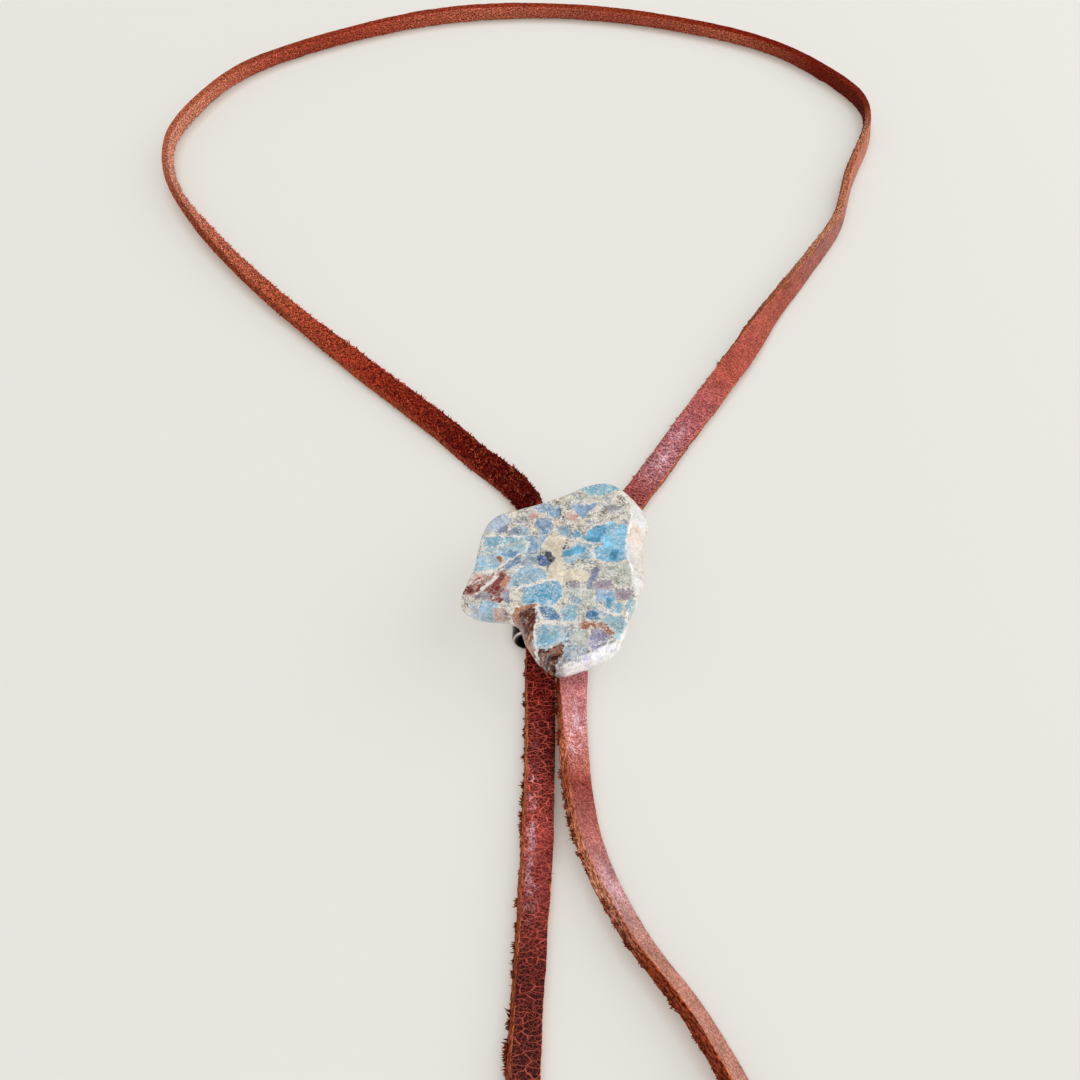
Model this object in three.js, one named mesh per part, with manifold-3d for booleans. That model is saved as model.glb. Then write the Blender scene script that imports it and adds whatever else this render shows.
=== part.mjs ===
// A lariat necklace of one flat leather lace, lying on a table: the neck loop, a flat metal slide that
// both runs of the lace go through, a stone slab on the slide, and the lace's two free tails.
// Millimetres, +Z up, the neck loop towards +Y and the tails towards -Y. The table is z = 0.

import * as THREE from "three";
import { mergeVertices } from "three/addons/utils/BufferGeometryUtils.js";
import Module from "manifold-3d";

// ---- Driving dimensions ----

const GAP = 0.3; // between pieces that touch on the real thing

const LACE_WIDTH = 5.2; // nominal: each row of the route has its own, as a hand-cut strip does
const LACE_THICKNESS = 1.9;
const LACE_EDGE_CUT = 0.35; // how much its four long edges are worn off
const LACE_STEPS_PER_ROW = 2;

const SLIDE_LENGTH = 12; // along the lace
const SLIDE_WIDTH = 16;
const SLIDE_WALL = 1.2;
const SLIDE_HOLLOW_HEIGHT = 3.4;
const SLIDE_HEIGHT = SLIDE_HOLLOW_HEIGHT + 2 * SLIDE_WALL;
const SLIDE_CENTRE = { x: 7.6, y: -71.4 };
const SLIDE_ARC_SEGMENTS = 10; // steps of each rounded corner

const STONE_BACK = SLIDE_HEIGHT + GAP;
const STONE_MIDDLE = { x: 7.5, y: -68.5 };
const STONE_CURVE_STEPS = 3; // steps between two outline points

// The stone's outline seen from above, anticlockwise from its lowest point, at its widest height.
const STONE_OUTLINE = [
  { x: 8, y: -88.9 },
  { x: 11.8, y: -87.7 },
  { x: 15.8, y: -85.8 },
  { x: 18.3, y: -83 },
  { x: 19.8, y: -78 },
  { x: 21.3, y: -74.5 },
  { x: 22.6, y: -71 },
  { x: 22.8, y: -66 },
  { x: 23.2, y: -60.5 },
  { x: 24.4, y: -57 },
  { x: 23.4, y: -53.8 },
  { x: 20, y: -49.8 },
  { x: 17.2, y: -48 },
  { x: 14, y: -48.4 },
  { x: 8, y: -51.5 },
  { x: 1, y: -54.3 },
  { x: -2.8, y: -55.6 },
  { x: -5, y: -57.8 },
  { x: -6.2, y: -61.5 },
  { x: -7.2, y: -68 },
  { x: -8.9, y: -73.4 },
  { x: -9, y: -75.3 },
  { x: -7.3, y: -76.6 },
  { x: -1.3, y: -77.8 },
  { x: 0.6, y: -79 },
  { x: 2.1, y: -82.8 },
  { x: 4.2, y: -86.4 },
  { x: 6, y: -88.3 },
];

// How far the stone's side is drawn in towards its middle, from its back face up to its front face.
const STONE_SIDE = [
  { height: 0, inset: 3 },
  { height: 0.5, inset: 1.9 },
  { height: 1.3, inset: 1 },
  { height: 2.4, inset: 0.35 },
  { height: 3.5, inset: 0 },
  { height: 5, inset: 0 },
  { height: 5.8, inset: 0.15 },
  { height: 6.2, inset: 0.4 },
  { height: 6.4, inset: 0.8 },
];
const STONE_THICKNESS = STONE_SIDE[STONE_SIDE.length - 1].height;

// The flat polished bevel down the stone's right side: a point on its ridge with the front face, the
// direction it falls away in (degrees from +X) and how steeply it falls.
const STONE_BEVEL = { x: 20.3, y: -62, towards: 2, slope: 33 };

// The lace's centreline from the left tail's cut end, through the slide, clockwise round the neck and
// back through the slide to the right tail's cut end. lift is the clearance under its lowest edge, and
// roll leans its grain side from straight up (0) to the right of travel (90), down (180) and left (270).
const ROUTE = [
  { x: 1.5, y: -169, lift: 0, roll: 24, width: 4.5 },
  { x: 2.4, y: -142, lift: 0, roll: 24, width: 4.5 },
  { x: 4, y: -114, lift: 0, roll: 22, width: 4.8 },
  { x: 4.5, y: -92, lift: 0.3, roll: 18, width: 4.8 },
  { x: 4.5, y: -78, lift: 1.5, roll: 0, width: 5 },
  { x: 4.5, y: -65, lift: 1.5, roll: 0, width: 5 },
  { x: 4, y: -59, lift: 0, roll: 60, width: 5.1 },
  { x: 3.3, y: -53.5, lift: 0, roll: 108, width: 5.1 },
  { x: 2, y: -43.5, lift: 0, roll: 148, width: 5 },
  { x: -11.5, y: -27, lift: 0, roll: 184, width: 5.5 },
  { x: -35.5, y: -2.5, lift: 0, roll: 190, width: 5.4 },
  { x: -59, y: 22, lift: 0, roll: 209, width: 5.4 },
  { x: -79, y: 47, lift: 0, roll: 226, width: 5.4 },
  { x: -92, y: 68.5, lift: 0, roll: 254, width: 5.2 },
  { x: -97, y: 89, lift: 0, roll: 278, width: 5.2 },
  { x: -94, y: 107, lift: 0, roll: 290, width: 5.2 },
  { x: -84, y: 128.5, lift: 0, roll: 296, width: 5.2 },
  { x: -61, y: 148, lift: 0, roll: 299, width: 5.1 },
  { x: -27, y: 164, lift: 0, roll: 294, width: 5.5 },
  { x: 8, y: 168, lift: 0, roll: 299, width: 5.3 },
  { x: 42, y: 161, lift: 0, roll: 302, width: 5.3 },
  { x: 73, y: 145.5, lift: 0, roll: 300, width: 5.2 },
  { x: 88, y: 128.5, lift: 0, roll: 294, width: 5.3 },
  { x: 96.5, y: 110.5, lift: 0, roll: 289, width: 5.5 },
  { x: 95.7, y: 96, lift: 0, roll: 280, width: 5.5 },
  { x: 85.5, y: 69.5, lift: 0, roll: 279, width: 5.3 },
  { x: 79, y: 50, lift: 0, roll: 280, width: 5.2 },
  { x: 68.5, y: 32, lift: 0, roll: 286, width: 5.3 },
  { x: 57.5, y: 14.5, lift: 0, roll: 299, width: 5.4 },
  { x: 48.5, y: -1, lift: 0, roll: 332, width: 5.7 },
  { x: 34.5, y: -23.5, lift: 0, roll: 350, width: 5.3 },
  { x: 23.5, y: -41.5, lift: 0, roll: 352, width: 5.2 },
  { x: 13.5, y: -56, lift: 0.5, roll: 356, width: 5.1 },
  { x: 10.2, y: -65, lift: 1.5, roll: 360, width: 5 },
  { x: 10.3, y: -78, lift: 1.5, roll: 360, width: 5 },
  { x: 9.8, y: -92, lift: 0.3, roll: 328, width: 4.9 },
  { x: 11.7, y: -113.5, lift: 0, roll: 316, width: 5.1 },
  { x: 18, y: -128.5, lift: 0, roll: 309, width: 5.1 },
  { x: 26.5, y: -141, lift: 0, roll: 306, width: 5.2 },
  { x: 40.5, y: -169, lift: 0, roll: 308, width: 5.2 },
];

// ---- Materials ----

const LEATHER = new THREE.MeshStandardMaterial({ color: 0x8a4232, roughness: 0.75, metalness: 0 });
const STONE = new THREE.MeshStandardMaterial({ color: 0x8fb4c4, roughness: 0.22, metalness: 0 });
const DARK_METAL = new THREE.MeshStandardMaterial({ color: 0x1d1b1c, roughness: 0.25, metalness: 0.9 });

// ---- Joining and cutting ----

const wasm = await Module();
wasm.setup();

// A closed geometry as a manifold-3d solid.
function solidOf(geometry) {
  const bare = geometry.clone();
  bare.deleteAttribute("normal");
  bare.deleteAttribute("uv");
  const merged = mergeVertices(bare, 1e-4);
  const mesh = new wasm.Mesh({
    numProp: 3,
    vertProperties: merged.attributes.position.array,
    triVerts: new Uint32Array(merged.index.array),
  });
  return new wasm.Manifold(mesh);
}

// A manifold-3d solid as a geometry with flat faces.
function geometryOf(solid) {
  const mesh = solid.getMesh();
  const geometry = new THREE.BufferGeometry();
  geometry.setAttribute("position", new THREE.BufferAttribute(mesh.vertProperties, 3));
  geometry.setIndex(new THREE.BufferAttribute(mesh.triVerts, 1));
  const flat = geometry.toNonIndexed();
  flat.computeVertexNormals();
  return flat;
}

// ---- The lace ----

// The route as a curve whose frames carry the lace's lean. The curve's own direction, the level line to
// its right and the roll give the three axes of its section.
class LaceCurve extends THREE.Curve {
  constructor(rows) {
    super();
    this.plan = new THREE.CatmullRomCurve3(
      rows.map((row) => new THREE.Vector3(row.x, row.y, 0)),
      false,
      "centripetal",
    );
    this.lean = new THREE.SplineCurve(rows.map((row) => new THREE.Vector2(row.lift, row.roll)));
    this.widths = new THREE.SplineCurve(rows.map((row) => new THREE.Vector2(row.width, 0)));
  }

  rollAt(t) {
    return THREE.MathUtils.degToRad(this.lean.getPoint(t).y);
  }

  widthAt(t) {
    return this.widths.getPoint(t).x;
  }

  // The lowest edge of the rolled section clears the table by the lift, so its middle is half the
  // section's height above that.
  getPoint(t, target = new THREE.Vector3()) {
    const roll = this.rollAt(t);
    const lift = Math.max(this.lean.getPoint(t).x, 0);
    const acrossHeight = this.widthAt(t) * Math.abs(Math.sin(roll));
    const throughHeight = LACE_THICKNESS * Math.abs(Math.cos(roll));
    target.copy(this.plan.getPoint(t));
    target.z = lift + (acrossHeight + throughHeight) / 2;
    return target;
  }

  // Steps are even between the rows, which stand closer together where the lace bends or twists.
  getSpacedPoints(divisions) {
    return this.getPoints(divisions);
  }

  // normals point across the lace and are as long as its width, which the section is drawn in units of.
  // binormals point out of its grain side.
  computeFrenetFrames(segments) {
    const tangents = [];
    const normals = [];
    const binormals = [];
    for (let i = 0; i <= segments; i++) {
      const t = i / segments;
      const tangent = this.getTangent(t);
      const right = new THREE.Vector3().crossVectors(tangent, new THREE.Vector3(0, 0, 1)).normalize();
      const up = new THREE.Vector3().crossVectors(right, tangent);
      const roll = this.rollAt(t);
      const grain = up.multiplyScalar(Math.cos(roll)).addScaledVector(right, Math.sin(roll));
      const across = new THREE.Vector3().crossVectors(grain, tangent);
      tangents.push(tangent);
      binormals.push(grain);
      normals.push(across.multiplyScalar(this.widthAt(t)));
    }
    return { tangents, normals, binormals };
  }
}

// The lace's section, one unit wide: a flat rectangle with its four corners cut off.
function laceSection() {
  const side = 0.5;
  const face = LACE_THICKNESS / 2;
  const sideCut = LACE_EDGE_CUT / LACE_WIDTH;
  const section = new THREE.Shape();
  section.moveTo(-side + sideCut, -face);
  section.lineTo(side - sideCut, -face);
  section.lineTo(side, -face + LACE_EDGE_CUT);
  section.lineTo(side, face - LACE_EDGE_CUT);
  section.lineTo(side - sideCut, face);
  section.lineTo(-side + sideCut, face);
  section.lineTo(-side, face - LACE_EDGE_CUT);
  section.lineTo(-side, -face + LACE_EDGE_CUT);
  section.closePath();
  return section;
}

function leatherLace() {
  const steps = (ROUTE.length - 1) * LACE_STEPS_PER_ROW;
  const geometry = new THREE.ExtrudeGeometry(laceSection(), { steps, extrudePath: new LaceCurve(ROUTE) });
  const mesh = new THREE.Mesh(geometry, LEATHER);
  mesh.name = "leather_lace";
  return mesh;
}

// ---- The slide ----

// Draws a flattened oval, centred on (0, 0): a rectangle with its ends rounded by arcs.
function drawOval(path, width, height) {
  const radius = height / 2;
  const straight = width / 2 - radius;
  path.moveTo(-straight, -radius);
  path.lineTo(straight, -radius);
  path.absarc(straight, 0, radius, -Math.PI / 2, Math.PI / 2, false);
  path.lineTo(-straight, radius);
  path.absarc(-straight, 0, radius, Math.PI / 2, Math.PI * 1.5, false);
  return path;
}

// A short flattened tube, lying on the table, that both runs of the lace go through side by side.
function slideSleeve() {
  const section = drawOval(new THREE.Shape(), SLIDE_WIDTH, SLIDE_HEIGHT);
  section.holes.push(drawOval(new THREE.Path(), SLIDE_WIDTH - 2 * SLIDE_WALL, SLIDE_HOLLOW_HEIGHT));
  const geometry = new THREE.ExtrudeGeometry(section, {
    depth: SLIDE_LENGTH,
    bevelEnabled: false,
    curveSegments: SLIDE_ARC_SEGMENTS,
  });
  geometry.translate(0, 0, -SLIDE_LENGTH / 2);
  const mesh = new THREE.Mesh(geometry, DARK_METAL);
  mesh.name = "slide_sleeve";
  mesh.rotation.x = Math.PI / 2;
  mesh.position.set(SLIDE_CENTRE.x, SLIDE_CENTRE.y, SLIDE_HEIGHT / 2);
  return mesh;
}

// ---- The stone ----

// The outline as a smooth closed curve through its points.
function stoneOutline() {
  const points = STONE_OUTLINE.map((point) => new THREE.Vector3(point.x, point.y, 0));
  const curve = new THREE.CatmullRomCurve3(points, true, "centripetal");
  const dense = curve.getPoints(points.length * STONE_CURVE_STEPS).slice(0, -1);
  return new THREE.Shape(dense.map((point) => new THREE.Vector2(point.x, point.y)));
}

// Gives each ring of an upright slab its own height and draws it in towards the stone's middle.
function shapeSide(geometry) {
  const position = geometry.attributes.position;
  const middle = new THREE.Vector2(STONE_MIDDLE.x, STONE_MIDDLE.y);
  for (let i = 0; i < position.count; i++) {
    const ring = STONE_SIDE[Math.round(position.getZ(i))];
    const out = new THREE.Vector2(position.getX(i), position.getY(i)).sub(middle);
    out.setLength(out.length() - ring.inset).add(middle);
    position.setXYZ(i, out.x, out.y, ring.height);
  }
}

// A block whose underside is the plane of the bevel, for cutting the stone's front.
function bevelBlock() {
  const size = 60;
  const block = new THREE.BoxGeometry(size, size, size);
  block.translate(0, 0, size / 2);
  block.rotateY(THREE.MathUtils.degToRad(STONE_BEVEL.slope));
  block.rotateZ(THREE.MathUtils.degToRad(STONE_BEVEL.towards));
  block.translate(STONE_BEVEL.x, STONE_BEVEL.y, STONE_THICKNESS);
  return solidOf(block);
}

function stoneSlab() {
  const rings = STONE_SIDE.length - 1;
  const slab = new THREE.ExtrudeGeometry(stoneOutline(), { depth: rings, steps: rings, bevelEnabled: false });
  shapeSide(slab);
  const mesh = new THREE.Mesh(geometryOf(solidOf(slab).subtract(bevelBlock())), STONE);
  mesh.name = "stone_slab";
  mesh.position.z = STONE_BACK;
  return mesh;
}

// ---- The necklace ----

const necklace = new THREE.Group();
necklace.name = "leather_lariat_necklace";
necklace.add(leatherLace(), slideSleeve(), stoneSlab());

export default necklace;
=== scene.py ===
# %% [markdown]
# # A lariat necklace: one flat leather lace, a metal slide and a slab of jasper
# The necklace is a single strip of leather about 5 mm wide. It goes round the neck, comes back through a
# small metal slide under a polished stone, and ends in two free tails. The CAD model fixes where every
# piece is. What is left for Blender is what makes it look real: the crinkled grain and the rough suede of
# the strip, its hairy cut edges, and the broken blue and cream pattern of the stone.
#
# Nothing here moves on a joint, so every piece rides on the one body, "root".

# %% Load the fixed frame
import math

import bpy
import numpy as np
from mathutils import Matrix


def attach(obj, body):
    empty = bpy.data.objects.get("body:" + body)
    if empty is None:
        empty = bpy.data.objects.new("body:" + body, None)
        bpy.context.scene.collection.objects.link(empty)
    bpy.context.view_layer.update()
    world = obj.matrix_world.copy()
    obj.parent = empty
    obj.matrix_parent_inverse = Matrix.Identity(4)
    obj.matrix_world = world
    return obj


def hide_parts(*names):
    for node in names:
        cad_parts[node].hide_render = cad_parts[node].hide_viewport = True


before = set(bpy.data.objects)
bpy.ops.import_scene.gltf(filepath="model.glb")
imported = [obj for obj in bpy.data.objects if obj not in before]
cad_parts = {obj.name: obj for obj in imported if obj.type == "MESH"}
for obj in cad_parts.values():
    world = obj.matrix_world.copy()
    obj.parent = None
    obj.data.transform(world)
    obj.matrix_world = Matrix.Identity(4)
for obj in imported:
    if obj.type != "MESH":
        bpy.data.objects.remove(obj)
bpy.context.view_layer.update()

print("CAD nodes:", ", ".join(sorted(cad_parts)))

# %% [markdown]
# ## The camera
# It stands low over the tails and looks down at 50 degrees, so the near tails are seen twice as large as
# the far side of the neck loop.

# %% Set up the camera
CAMERA_PLACE = (0.0045, -0.186, 0.160)  # metres
CAMERA_LOOKS_DOWN = 50  # degrees under the horizon
LENS_MM, SENSOR_MM = 36.07, 36
NEAREST_SEEN = 0.01  # metres

camera_data = bpy.data.cameras.new("camera")
camera_data.lens = LENS_MM
camera_data.sensor_width = SENSOR_MM
camera_data.clip_start = NEAREST_SEEN
camera = bpy.data.objects.new("camera", camera_data)
camera.location = CAMERA_PLACE
camera.rotation_euler = (math.radians(90 - CAMERA_LOOKS_DOWN), 0, 0)
bpy.context.scene.collection.objects.link(camera)
bpy.context.scene.camera = camera
print("Camera at", CAMERA_PLACE, "with a", camera_data.lens, "mm lens")

# %% [markdown]
# ## Small tools
# Every piece is a grid of points worked out with numpy, so a few helpers are enough: one puts arrays into
# a mesh, two store a number or a colour on each point, and one makes smooth random variation. Leather,
# fibres and stone all vary smoothly at some scale, and the same noise serves them all.

# %% Colours and noise
MM = 0.001


def linear(hex_colour):
    """An sRGB colour as three linear numbers: c / 12.92 up to 0.04045, else ((c + 0.055) / 1.055) ^ 2.4."""
    parts = np.array([int(hex_colour[i : i + 2], 16) for i in (0, 2, 4)]) / 255
    return np.where(parts <= 0.04045, parts / 12.92, ((parts + 0.055) / 1.055) ** 2.4)


def noise(points, cell, seed):
    """Smooth noise from -1 to 1. Space is cut into cubes of side cell, whose corners have fixed random
    values, and a point blends its cube's eight corners with the weight 3t^2 - 2t^3 along each axis."""
    values = np.random.default_rng(seed).uniform(-1, 1, 4096)
    scaled = points / cell
    base = np.floor(scaled).astype(np.int64)
    ease = (scaled - base) ** 2 * (3 - 2 * (scaled - base))
    total = 0
    for corner in np.ndindex(2, 2, 2):
        key = (base + corner) * (73856093, 19349663, 83492791)
        value = values[(key[..., 0] ^ key[..., 1] ^ key[..., 2]) & 4095]
        total = total + value * np.prod(np.where(corner, ease, 1 - ease), axis=-1)
    return total


def ramp(values, low, high):
    """0 below low, 1 above high, and 3t^2 - 2t^3 between them."""
    t = np.clip((values - low) / (high - low), 0, 1)
    return t * t * (3 - 2 * t)


def blend(first, second, amount):
    """The colours first and second mixed point by point."""
    return first + (second - first) * np.asarray(amount)[..., None]


print("leather brown", np.round(linear("8a4232"), 3))

# %% Meshes from arrays
def mesh_from(name, points, quads, triangles=()):
    """A smooth-shaded object from points (n, 3), four-sided faces (q, 4) and three-sided faces (t, 3)."""
    quads = np.asarray(quads, np.int32).reshape(-1, 4)
    triangles = np.asarray(triangles, np.int32).reshape(-1, 3)
    sizes = np.r_[np.full(len(quads), 4), np.full(len(triangles), 3)]
    corners = np.r_[quads.ravel(), triangles.ravel()]
    mesh = bpy.data.meshes.new(name)
    mesh.vertices.add(len(points))
    mesh.vertices.foreach_set("co", np.asarray(points, np.float32).ravel())
    mesh.loops.add(len(corners))
    mesh.loops.foreach_set("vertex_index", corners.astype(np.int32))
    mesh.polygons.add(len(sizes))
    mesh.polygons.foreach_set("loop_start", (np.cumsum(sizes) - sizes).astype(np.int32))
    mesh.polygons.foreach_set("use_smooth", np.ones(len(sizes), bool))
    mesh.update(calc_edges=True)
    piece = bpy.data.objects.new(name, mesh)
    bpy.context.scene.collection.objects.link(piece)
    print(f"{name}: {len(points)} points, {int((sizes - 2).sum())} triangles")
    return piece


def give_number(piece, name, values):
    """Stores one number on each point."""
    held = piece.data.attributes.new(name, "FLOAT", "POINT")
    held.data.foreach_set("value", np.asarray(values, np.float32).ravel())


def give_colour(piece, name, colours):
    """Stores one linear colour on each point."""
    rgba = np.ones((len(colours), 4), np.float32)
    rgba[:, :3] = colours
    piece.data.color_attributes.new(name, "FLOAT_COLOR", "POINT").data.foreach_set("color", rgba.ravel())


def rows_of_quads(rows, around):
    """Faces that join each ring of points to the next, for rings of the same size that close round."""
    start = np.arange(rows - 1)[:, None] * around
    here = np.arange(around)[None, :]
    after = (here + 1) % around
    quads = np.stack([start + here, start + after, start + around + after, start + around + here], -1)
    return quads.reshape(-1, 4)


def unit(vectors):
    """Each vector divided by its own length."""
    return vectors / np.linalg.norm(vectors, axis=-1, keepdims=True)


# %% [markdown]
# ## The lace
# A leather lace is cut from a hide, so it has two different faces: the smooth grain side and the rough
# suede side. It keeps its flat shape as it twists, and that twist decides which face shows. A curve object
# with a bevel would work, but it gives no control over width and edge wear. Here the route is a table of
# 40 rows: where the middle of the strip is, how far its lowest edge is off the table, how it leans and how
# wide it was cut. A smooth curve through the rows carries the section.

# %% The lace's route
# Columns: x, y and lift in metres, roll in degrees, width in metres. Roll 0 has the grain side up, 90 has
# it facing right of travel, 180 down and 270 left.
LACE_ROUTE = np.array([
    (0.0015, -0.1690, 0.0000, 24, 0.0045),
    (0.0024, -0.1420, 0.0000, 24, 0.0045),
    (0.0040, -0.1140, 0.0000, 22, 0.0048),
    (0.0045, -0.0920, 0.0003, 18, 0.0048),
    (0.0045, -0.0780, 0.0015, 0, 0.0050),
    (0.0045, -0.0650, 0.0015, 0, 0.0050),
    (0.0040, -0.0590, 0.0000, 60, 0.0051),
    (0.0033, -0.0535, 0.0000, 108, 0.0051),
    (0.0020, -0.0435, 0.0000, 148, 0.0050),
    (-0.0115, -0.0270, 0.0000, 184, 0.0055),
    (-0.0355, -0.0025, 0.0000, 190, 0.0054),
    (-0.0590, 0.0220, 0.0000, 209, 0.0054),
    (-0.0790, 0.0470, 0.0000, 226, 0.0054),
    (-0.0920, 0.0685, 0.0000, 254, 0.0052),
    (-0.0970, 0.0890, 0.0000, 278, 0.0052),
    (-0.0940, 0.1070, 0.0000, 290, 0.0052),
    (-0.0840, 0.1285, 0.0000, 296, 0.0052),
    (-0.0610, 0.1480, 0.0000, 299, 0.0051),
    (-0.0270, 0.1640, 0.0000, 294, 0.0055),
    (0.0080, 0.1680, 0.0000, 299, 0.0053),
    (0.0420, 0.1610, 0.0000, 302, 0.0053),
    (0.0730, 0.1455, 0.0000, 300, 0.0052),
    (0.0880, 0.1285, 0.0000, 294, 0.0053),
    (0.0965, 0.1105, 0.0000, 289, 0.0055),
    (0.0957, 0.0960, 0.0000, 280, 0.0055),
    (0.0855, 0.0695, 0.0000, 279, 0.0053),
    (0.0790, 0.0500, 0.0000, 280, 0.0052),
    (0.0685, 0.0320, 0.0000, 286, 0.0053),
    (0.0575, 0.0145, 0.0000, 299, 0.0054),
    (0.0485, -0.0010, 0.0000, 332, 0.0057),
    (0.0345, -0.0235, 0.0000, 350, 0.0053),
    (0.0235, -0.0415, 0.0000, 352, 0.0052),
    (0.0135, -0.0560, 0.0005, 356, 0.0051),
    (0.0102, -0.0650, 0.0015, 360, 0.0050),
    (0.0103, -0.0780, 0.0015, 360, 0.0050),
    (0.0098, -0.0920, 0.0003, 328, 0.0049),
    (0.0117, -0.1135, 0.0000, 316, 0.0051),
    (0.0180, -0.1285, 0.0000, 309, 0.0051),
    (0.0265, -0.1410, 0.0000, 306, 0.0052),
    (0.0405, -0.1690, 0.0000, 308, 0.0052),
])
LACE_THICKNESS = 1.9 * MM
print(len(LACE_ROUTE), "rows in the lace's route")


# %% A smooth line through the route
def plan_curve(points, t):
    """The centripetal Catmull-Rom curve through points at t = 0, 1, 2, ... Each stretch is the cubic that
    passes its two points with slopes set by its neighbours, spaced by the square root of their distance."""
    ends = np.vstack([2 * points[0] - points[1], points, 2 * points[-1] - points[-2]])
    i = np.minimum(t.astype(int), len(points) - 2)
    w = (t - i)[:, None]
    p0, p1, p2, p3 = ends[i], ends[i + 1], ends[i + 2], ends[i + 3]
    d0, d1, d2 = (np.linalg.norm(b - a, axis=1)[:, None] ** 0.5 for a, b in ((p0, p1), (p1, p2), (p2, p3)))
    m1 = ((p1 - p0) / d0 - (p2 - p0) / (d0 + d1) + (p2 - p1) / d1) * d1
    m2 = ((p2 - p1) / d1 - (p3 - p1) / (d1 + d2) + (p3 - p2) / d2) * d1
    return p1 + m1 * w + (3 * p2 - 3 * p1 - 2 * m1 - m2) * w**2 + (2 * p1 - 2 * p2 + m1 + m2) * w**3


def row_curve(rows, t):
    """The plain Catmull-Rom curve through rows of numbers: slopes are half the step between neighbours."""
    i = np.minimum(t.astype(int), len(rows) - 2)
    w = (t - i)[:, None]
    p0, p1, p2, p3 = (rows[np.clip(i + k, 0, len(rows) - 1)] for k in (-1, 0, 1, 2))
    m1, m2 = (p2 - p0) / 2, (p3 - p1) / 2
    return p1 + m1 * w + (3 * p2 - 3 * p1 - 2 * m1 - m2) * w**2 + (2 * p1 - 2 * p2 + m1 + m2) * w**3


def lace_line(t):
    """The middle of the strip, its roll in radians and its width. The lowest edge of the leaning section
    clears the table by the lift, so the middle is half the section's height above that."""
    lift, roll, width = row_curve(LACE_ROUTE[:, 2:], t).T
    roll = np.radians(roll)
    height = width * abs(np.sin(roll)) + LACE_THICKNESS * abs(np.cos(roll))
    middle = np.c_[plan_curve(LACE_ROUTE[:, :2], t), np.maximum(lift, 0) + height / 2]
    return middle, roll, width


fine_t = np.linspace(0, len(LACE_ROUTE) - 1, 12001)
fine_line = lace_line(fine_t)[0]
fine_along = np.r_[0, np.cumsum(np.linalg.norm(np.diff(fine_line, axis=0), axis=1))]
LACE_LENGTH = fine_along[-1]
print(f"The lace is {LACE_LENGTH * 1000:.0f} mm long")

# %% [markdown]
# The rings along the strip stand closer together on the tails, which are nearest to the eye, than at the
# back of the neck. Each ring has its own three directions: along the strip, across it, and out of its
# grain side.

# %% Rings along the lace
# Columns: distance along the lace in mm, space between two rings there in mm.
RING_SPACING = np.array([
    (0, 0.27), (110, 0.30), (180, 0.38), (300, 0.5), (580, 0.5), (690, 0.36), (760, 0.28), (862, 0.27),
])

spacing = np.interp(fine_along, RING_SPACING[:, 0] * MM, RING_SPACING[:, 1] * MM)
rings_before = np.r_[0, np.cumsum(np.diff(fine_along) / ((spacing[1:] + spacing[:-1]) / 2))]
ring_count = int(rings_before[-1]) + 1
ring_t = np.interp(np.linspace(0, rings_before[-1], ring_count), rings_before, fine_t)
middle, roll, width = lace_line(ring_t)
along = np.interp(ring_t, fine_t, fine_along)

forward = unit(np.gradient(middle, along, axis=0))
level_right = unit(np.cross(forward, (0, 0, 1)))
level_up = np.cross(level_right, forward)
grain_out = level_up * np.cos(roll)[:, None] + level_right * np.sin(roll)[:, None]
across = np.cross(grain_out, forward)
print(ring_count, "rings")

# %% [markdown]
# The section is a flat bar with rounded corners. The grain side's corners stay crisp, because the blade
# cuts them clean. The suede side's corners are softer, because the loose fibres there pull out. Going
# once round the section, each point knows its face, so each face can have its own finish.

# %% The lace's section
GRAIN_CORNER = 0.2 * MM
SUEDE_CORNER = 0.4 * MM
FACE_POINTS = 11
EDGE_POINTS = 6


def lace_section():
    """Once round, anticlockwise as seen with the strip coming towards the eye. Each row is side, shift,
    height and lean: the point is at side * half the width + shift across, and at height, and the surface
    faces lean degrees there. A corner of radius r has shift r (cos lean - side) and rises by r sin lean."""
    half = LACE_THICKNESS / 2
    face = np.linspace(1, -1, FACE_POINTS)
    rise = np.linspace(SUEDE_CORNER - half, half - GRAIN_CORNER, EDGE_POINTS)

    def corner(side, radius, level, start):
        """The two points inside a rounded corner, at 30 and 60 degrees of its turn."""
        turns = [(lean, math.radians(lean)) for lean in (start + 30, start + 60)]
        return [
            (side, radius * (math.cos(a) - side), level + radius * math.sin(a), lean) for lean, a in turns
        ]

    rows = [(f, -f * GRAIN_CORNER, half, 90) for f in face]
    rows += corner(-1, GRAIN_CORNER, rise[-1], 90)
    rows += [(-1, 0, h, 180) for h in rise[::-1]]
    rows += corner(-1, SUEDE_CORNER, rise[0], 180)
    rows += [(-f, f * SUEDE_CORNER, -half, 270) for f in face]
    rows += corner(1, SUEDE_CORNER, rise[0], 270)
    rows += [(1, 0, h, 0) for h in rise]
    rows += corner(1, GRAIN_CORNER, rise[-1], 0)
    return np.array(rows).T


side, shift, height, lean = lace_section()
around = len(side)
section_out = np.c_[np.cos(np.radians(lean)), np.sin(np.radians(lean))]
on_grain = ramp(section_out[:, 1], 0.5, 0.9)
on_suede = ramp(-section_out[:, 1], 0.2, 0.7)
on_cut = 1 - np.maximum(on_grain, on_suede)
print(around, "points round the section")

# %% [markdown]
# Real lace is never a perfect bar. The knife wanders by a tenth of a millimetre, the hide's thickness
# varies, the suede is lumpy and its corners are torn. All of these are noise at different scales, added
# along the surface's own outward direction. Inside the slide they fade out, so that nothing touches it.

# %% Shape the lace
SLIDE_MIDDLE_Y = -71.4 * MM
STILL_REACH, FREE_REACH = 7 * MM, 10 * MM  # from the slide's middle: nothing varies, everything does
HALF_WIDTH_MM = 2.6  # half the nominal width
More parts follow.
